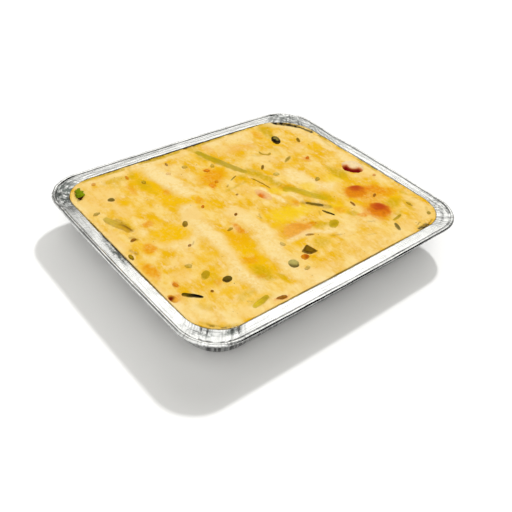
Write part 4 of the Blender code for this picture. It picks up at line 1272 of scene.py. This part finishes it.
# Middle, shape, height, slot, tone of the middle and of the edge, cream in the middle and at the edge
CHIPS = {
    "leek_piece_1": ((0.038, -0.066), oval(0.0076, 0.0052, 28, 0.08, 9.0), 0.0011, "leek",
                     (186, 154, 8), (200, 168, 20), 0.10, 0.80),
    "leek_piece_2": ((-0.1045, -0.0575), oval(0.0066, 0.0040, 38, 0.08, 10.0), 0.0011, "leek",
                     (184, 148, 18), (190, 156, 20), 0.10, 0.80),
    "bean_bit_1": ((-0.1428, -0.0045), oval(0.0022, 0.0046, -4, 0.06, 11.0), 0.0012, "green",
                   (176, 142, 10), (132, 100, 4), 0.0, 0.50),
    "dark_leaf_1": ((0.0948, 0.0820), oval(0.0052, 0.0100, -28, 0.06, 12.0), 0.0022, "dark_green",
                    (150, 136, 66), (22, 14, 6), 0.0, 0.15),
    "dark_piece_1": ((-0.0100, -0.0820), cornered(np.array((-0.0100, -0.0820)), [
        (-0.0026, -0.0876), (-0.0058, -0.0742), (-0.0180, -0.0800), (-0.0120, -0.0874)], 0.10), 0.0026,
        "dark_green", (132, 100, 14), (110, 80, 8), 0.0, 0.35),
    "dark_sliver_1": ((0.0865, -0.1030), oval(0.0026, 0.0066, -28, 0.08, 13.0), 0.0012, "dark_green",
                      (122, 104, 50), (150, 130, 66), 0.05, 0.55),
    "dark_sliver_2": ((0.1165, 0.0685), oval(0.0021, 0.0066, -28, 0.08, 14.0), 0.0011, "dark_green",
                      (134, 100, 12), (170, 132, 20), 0.05, 0.60),
    "dark_sliver_3": ((0.0430, 0.0440), oval(0.0017, 0.0060, -46, 0.08, 15.0), 0.0011, "dark_green",
                      (122, 88, 8), (160, 120, 16), 0.05, 0.60),
    "dark_sliver_4": ((0.0785, 0.0440), oval(0.0023, 0.0090, -63, 0.08, 16.0), 0.0010, "green",
                      (160, 130, 34), (190, 158, 60), 0.15, 0.75),
}

for name, (middle, reach, proud, slot, middle_tone, edge_tone, middle_coat, edge_coat) in CHIPS.items():
    chip = blank_disc("cooked_" + name)
    x, y, out, turn = lay_disc(chip, middle, reach, proud, 0.0018, lumps=0.0002)
    ragged = out + 0.14 * noise_at(x, y, 0.003, 56.0)
    tint = blend_tones(middle_tone, edge_tone, smooth_step(ragged, 0.35, 0.75))
    if name == "dark_leaf_1":
        left = smooth_step(np.cos(turn - math.radians(205)) + ragged - 0.6, 0.0, 0.8)
        tint = toward(tint, (30, 10, 6), left)
    tint_piece(chip, x, y, tint, coat_between(middle_coat, edge_coat, smooth_step(ragged, 0.70, 1.0)))
    finish_piece(chip, [name], slot)


# Peas and the green leaf: wrinkled peas, some nearly black, and one thin leaf that curls up by the corner.

# Plan, half sizes, angle, how far it stands up, slot, lit tone above, tone below painted in as shade, and
# cream over it
PEAS = {
    "dark_pea_1": (-0.0930, -0.0720, 0.0052, 0.0040, 5, 0.0022, "dark_green",
                   (96, 82, 30), (46, 36, 8), 0.05),
    "dark_pea_2": (-0.1155, 0.0757, 0.0038, 0.0033, 0, 0.0018, "dark_green",
                   (112, 96, 30), (118, 92, 18), 0.10),
    "pea_1": (-0.0338, -0.0878, 0.0055, 0.0055, 0, 0.0026, "green",
              (186, 174, 96), (96, 86, 34), 0.10),
    "pea_2": (-0.0782, 0.0092, 0.0030, 0.0050, -35, 0.0016, "green",
              (140, 112, 16), (130, 100, 10), 0.10),
    "pea_3": (0.0465, 0.0265, 0.0045, 0.0038, 0, 0.0014, "green",
              (206, 180, 84), (164, 144, 60), 0.35),
}


def turned(angle):
    """What turns places in plan by an angle in degrees."""
    turn = math.radians(angle)
    return np.array(((math.cos(turn), math.sin(turn)), (-math.sin(turn), math.cos(turn))))


for name, (pea_x, pea_y, across, along, angle, proud, slot, above, below, coat_share) in PEAS.items():
    bpy.ops.mesh.primitive_ico_sphere_add(subdivisions=4, radius=1, location=(0, 0, 0))
    pea = new_piece("cooked_" + name)
    height = (across + along) / 2 * 0.8
    bpy.ops.object.mode_set(mode="EDIT")
    bpy.ops.mesh.select_all(action="SELECT")
    bpy.ops.transform.resize(value=(across, along, height), center_override=(0, 0, 0))
    bpy.ops.object.mode_set(mode="OBJECT")
    points = points_of(pea)
    wrinkle = np.array([noise.noise(Vector(point) * 520) for point in points])
    points *= (1 + 0.035 * wrinkle)[:, None]
    lift = points[:, 2] / height
    points[:, :2] = points[:, :2] @ turned(angle) + (pea_x, pea_y)
    points[:, 2] += float(top_level([pea_x], [pea_y])[0]) + proud - height
    set_points(pea, points)
    x = points[:, 0]
    y = points[:, 1]
    # Painted shade: each pea turns to its tone below underneath and on its side away from the lamp
    facing = (x - pea_x) * -0.65 + (y - pea_y) * -0.75
    share = smooth_step(lift - 0.5 * facing / across + 0.1 * wrinkle, 0.15, 0.75)
    tint = blend_tones(below, above, share)
    above_sauce = smooth_step(points[:, 2] - top_level(x, y), 0.0, 0.0008)
    tint_piece(pea, x, y, tint, np.maximum(coat_share, 0.5 * (1 - above_sauce)))
    finish_piece(pea, [name], slot)

leaf = blank_strip("fresh_green_leaf_1", 40, 14)
flat = points_of(leaf)
under = flat[:, 2] < -0.5
share = (flat[:, 0] + 1) / 2
middle, way = followed(((-0.1385, 0.0915), (-0.1350, 0.0990), (-0.1335, 0.1085)), share)
half = 0.0036 * (0.18 + 0.82 * np.sin(math.pi * (0.06 + 0.88 * share)))
half *= 1 + 0.30 * np.sin(share * 24 + flat[:, 1]) * smooth_step(np.abs(flat[:, 1]), 0.4, 1.0)
plan = middle + np.column_stack([-way[:, 1], way[:, 0]]) * (flat[:, 1] * half)[:, None]
ripple = 0.0005 * np.sin(share * 17 + flat[:, 1]) + 0.0006 * np.abs(flat[:, 1]) ** 2
vein = -0.00025 * np.exp(-((flat[:, 1] / 0.10) ** 2))
z = top_level(plan[:, 0], plan[:, 1]) + 0.0008 + ripple + vein + np.where(under, -0.0004, 0.0003)
set_points(leaf, np.column_stack([plan, z]))
faces_out(leaf)
FINISHES["fresh_green"] = vegetable_material("fresh_leaf", 0.40, 500, 0.30)
tint = blend_tones((70, 34, 4), (138, 156, 22), smooth_step(share, 0.14, 0.24))
shading = 1 - 0.30 * np.exp(-((flat[:, 1] / 0.12) ** 2)) - 0.35 * smooth_step(flat[:, 1], 0.0, 1.0)
tint = tint * shading[:, None]
tint_piece(leaf, plan[:, 0], plan[:, 1], tint, np.zeros(len(share)))
finish_piece(leaf, ["green_leaf_1"], "fresh_green")


# Flakes and crumbs: flakes of herb, carrot and pepper stuck in the top, and a dusting of ground pepper. Each
# kind is one piece.

# Slot, deep and light tone of each kind; then middle, half sizes, angle and cream of each flake
FLAKES = {
    "orange_flakes": ("carrot", (200, 84, 6), (232, 140, 24), (
        (0.0990, 0.0350, 0.0032, 0.0020, 35, 0.05), (-0.1322, -0.0545, 0.0018, 0.0034, 0, 0.30),
        (-0.0830, 0.1020, 0.0015, 0.0034, -15, 0.30), (-0.0505, 0.0205, 0.0028, 0.0015, 40, 0.15),
        (-0.0120, 0.0500, 0.0020, 0.0026, -30, 0.45), (-0.1160, 0.1080, 0.0022, 0.0030, -20, 0.55),
        (0.1370, -0.0280, 0.0026, 0.0016, 20, 0.40), (-0.0085, 0.0715, 0.0036, 0.0028, 0, 0.25),
        (-0.0455, 0.0850, 0.0026, 0.0030, 0, 0.75),
    )),
    "brown_flakes": ("dark_green", (120, 60, 10), (170, 110, 20), (
        (0.0775, -0.0530, 0.0014, 0.0042, -10, 0.15), (0.0070, -0.0655, 0.0040, 0.0013, -25, 0.35),
        (-0.0690, -0.1135, 0.0050, 0.0020, -12, 0.10), (-0.0315, -0.0055, 0.0026, 0.0015, 35, 0.05),
        (-0.0930, -0.0185, 0.0022, 0.0014, 30, 0.25), (-0.0370, 0.1020, 0.0013, 0.0032, -15, 0.30),
        (-0.1300, 0.0130, 0.0030, 0.0018, 10, 0.10), (-0.1120, -0.0765, 0.0013, 0.0013, 0, 0.10),
        (-0.0095, 0.0205, 0.0018, 0.0012, 20, 0.45), (0.1085, -0.0540, 0.0040, 0.0014, 25, 0.20),
    )),
    "olive_flakes": ("green", (140, 120, 34), (180, 150, 50), (
        (0.0770, -0.0030, 0.0034, 0.0022, 30, 0.25), (-0.0240, -0.0630, 0.0024, 0.0030, 0, 0.55),
        (-0.0270, -0.0985, 0.0034, 0.0016, 10, 0.50), (-0.1100, -0.0410, 0.0030, 0.0030, 0, 0.50),
        (-0.0485, -0.0190, 0.0030, 0.0015, 8, 0.30), (-0.1370, 0.0640, 0.0034, 0.0020, 0, 0.30),
        (-0.0730, 0.0870, 0.0020, 0.0034, -20, 0.40), (-0.0250, 0.0870, 0.0030, 0.0026, 0, 0.60),
        (0.1270, -0.0840, 0.0016, 0.0040, 0, 0.45), (0.1320, -0.1050, 0.0028, 0.0020, 45, 0.20),
        (0.0020, 0.0760, 0.0022, 0.0032, -30, 0.55),
    )),
}


def make_flakes(name, slot, deep, light, places, height, subdivisions=3):
    """All flakes of a kind as one piece: squashed, uneven lumps a little way into the food."""
    lumps = []
    for x, y, across, along, angle, coat in places:
        bpy.ops.mesh.primitive_ico_sphere_add(subdivisions=subdivisions, radius=1, location=(0, 0, 0))
        lump = new_piece("lump")
        points = points_of(lump)
        rough = np.array([noise.noise(Vector(point) * 1.6 + Vector((x, y, 0)) * 900) for point in points])
        points *= (1 + 0.30 * rough)[:, None]
        plan = (points[:, :2] * (across, along)) @ turned(angle) + (x, y)
        level = top_level(plan[:, 0], plan[:, 1]) + points[:, 2] * height
        set_points(lump, np.column_stack([plan, level]))
        tint = blend_tones(deep, light, 0.5 + 0.9 * rough)
        low = 1 - smooth_step(points[:, 2], 0.05, 0.5)
        tint_piece(lump, plan[:, 0], plan[:, 1], tint, np.maximum(coat, 0.8 * low))
        lumps.append(lump)
    select_only(lumps[0])
    for lump in lumps:
        lump.select_set(True)
    bpy.ops.object.join()
    flakes = new_piece(name)
    finish_piece(flakes, [], slot)


for name, (slot, deep, light, places) in FLAKES.items():
    make_flakes(name, slot, deep, light, places, 0.0011)

PEPPER_GRAINS = 90
grind = random.Random(8)
pepper = []
while len(pepper) < PEPPER_GRAINS:
    x = grind.uniform(-0.144, 0.144)
    y = grind.uniform(-0.116, 0.116)
    if depth_inside(np.array(x), np.array(y)) > 0.004:
        size = grind.uniform(0.00025, 0.00055)
        form = (size, size * grind.uniform(0.6, 1.0), grind.uniform(0, 180), grind.uniform(0.1, 0.6))
        pepper.append((x, y, *form))
make_flakes("ground_pepper", "dark_green", (60, 40, 16), (120, 84, 30), pepper, 0.0003, 2)


# Floor, lamps and camera: a plain white floor under one soft lamp. The foil mirrors soft panels of pale light
# round the tray: a bright one behind it, a wide one in front to the left, a high one, a faint one to the
# left, and a low band all the way round.

SHADOW_SHIFT = (-0.0296, -0.0164, -0.0410)
LAMP_STRENGTH = 1.75
LAMP_ANGLE = 4.5
SKY_TONE = (1.0, 0.992, 0.955, 1)
SKY_STRENGTH = 0.10
CAMERA_PLACE = (-0.3495, -0.3674, 0.3879)
CAMERA_AZIMUTH = -44.0499
CAMERA_ELEVATION = 39.1905
CAMERA_ROLL = 6.6798
CAMERA_LENS = 44.73

# Direction and strength of each panel, and how bright it is by the angle from its middle in degrees
PANELS = (
    ((0.505, 0.405, 0.762), 1.46, (
        (0, 1.0), (14, 1.0), (19, 0.86), (22, 0.70), (25, 0.54), (28, 0.32), (31, 0.14), (37, 0.02),
        (180, 0.0))),
    ((-0.78, -0.36, 0.51), 1.1, (
        (0, 1.0), (24, 0.95), (40, 0.62), (54, 0.26), (70, 0.06), (90, 0.0), (180, 0.0))),
    ((-0.22, -0.50, 0.84), 2.1, (
        (0, 1.0), (8, 1.0), (14, 0.72), (20, 0.32), (27, 0.08), (36, 0.0), (180, 0.0))),
    ((-0.42, 0.70, 0.57), 0.2, (
        (0, 1.0), (20, 0.9), (34, 0.5), (48, 0.12), (62, 0.0), (180, 0.0))),
    ((0, 0, -1), 0.50, (
        (0, 1.0), (90, 1.0), (102, 1.0), (112, 0.55), (122, 0.16), (134, 0.0), (180, 0.0))),
)

bpy.ops.mesh.primitive_plane_add(size=12, location=(0, 0, 0))
floor = new_piece("floor")
floor_finish, floor_tree, floor_shader = new_material("white_floor", 0.9)
floor_noise = piece_noise(floor_tree, 3, 2, 0.5)
floor_colour = two_tones(floor_tree, floor_noise, 0, (0.93, 0.93, 0.93, 1), 1, (0.95, 0.95, 0.95, 1))
floor_tree.links.new(floor_colour, floor_shader.inputs["Base Color"])
floor_shader.inputs["Specular IOR Level"].default_value = 0.0
floor.data.materials.append(floor_finish)

lamp = bpy.data.lights.new("soft_lamp", "SUN")
lamp.energy = LAMP_STRENGTH
lamp.angle = math.radians(LAMP_ANGLE)
lamp_stand = bpy.data.objects.new("soft_lamp", lamp)
lamp_stand.visible_glossy = False
lamp_stand.rotation_mode = "QUATERNION"
lamp_stand.rotation_quaternion = Vector(SHADOW_SHIFT).to_track_quat("-Z", "Y")
bpy.context.scene.collection.objects.link(lamp_stand)

studio = bpy.data.worlds.new("pale_studio")
studio.use_nodes = True
sky_tree = studio.node_tree
sky = sky_tree.nodes["Background"]
sky_place = sky_tree.nodes.new("ShaderNodeTexCoord")


def soft_panel(direction, stops):
    """A soft panel of the studio: how bright it is, by the angle from its middle in degrees."""
    facing = sky_tree.nodes.new("ShaderNodeVectorMath")
    facing.operation = "DOT_PRODUCT"
    facing.inputs[1].default_value = Vector(direction).normalized()
    sky_tree.links.new(sky_place.outputs["Generated"], facing.inputs[0])
    angle = worked_out(sky_tree, "ARCCOSINE", facing.outputs["Value"])
    ramp = sky_tree.nodes.new("ShaderNodeFloatCurve")
    curve = ramp.mapping.curves[0]
    for index, (degrees, bright) in enumerate(stops):
        if index < 2:
            curve.points[index].location = (degrees / 180, bright)
        else:
            curve.points.new(degrees / 180, bright)
    ramp.mapping.update()
    sky_tree.links.new(spread(sky_tree, angle, 0, math.pi, 0, 1), ramp.inputs["Value"])
    return ramp.outputs["Value"]


light = SKY_STRENGTH
for direction, strength, stops in PANELS:
    light = worked_out(sky_tree, "MULTIPLY_ADD", soft_panel(direction, stops), strength, light)
sky_tree.links.new(light, sky.inputs["Strength"])
sky.inputs["Color"].default_value = SKY_TONE
bpy.context.scene.world = studio

bpy.context.scene.view_settings.view_transform = "Standard"

turn = math.radians(CAMERA_AZIMUTH)
rise = math.radians(CAMERA_ELEVATION)
lean = math.radians(CAMERA_ROLL)
back = Vector((math.sin(turn) * math.cos(rise), -math.cos(turn) * math.cos(rise), math.sin(rise)))
level_right = Vector((0, 0, 1)).cross(back).normalized()
level_up = back.cross(level_right)
right = level_right * math.cos(lean) + level_up * math.sin(lean)
up = level_up * math.cos(lean) - level_right * math.sin(lean)
camera_data = bpy.data.cameras.new("camera")
camera_data.lens = CAMERA_LENS
camera_data.sensor_width = 36
camera = bpy.data.objects.new("camera", camera_data)
camera.matrix_world = Matrix.Translation(CAMERA_PLACE) @ Matrix((right, up, back)).transposed().to_4x4()
bpy.context.scene.collection.objects.link(camera)
bpy.context.scene.camera = camera
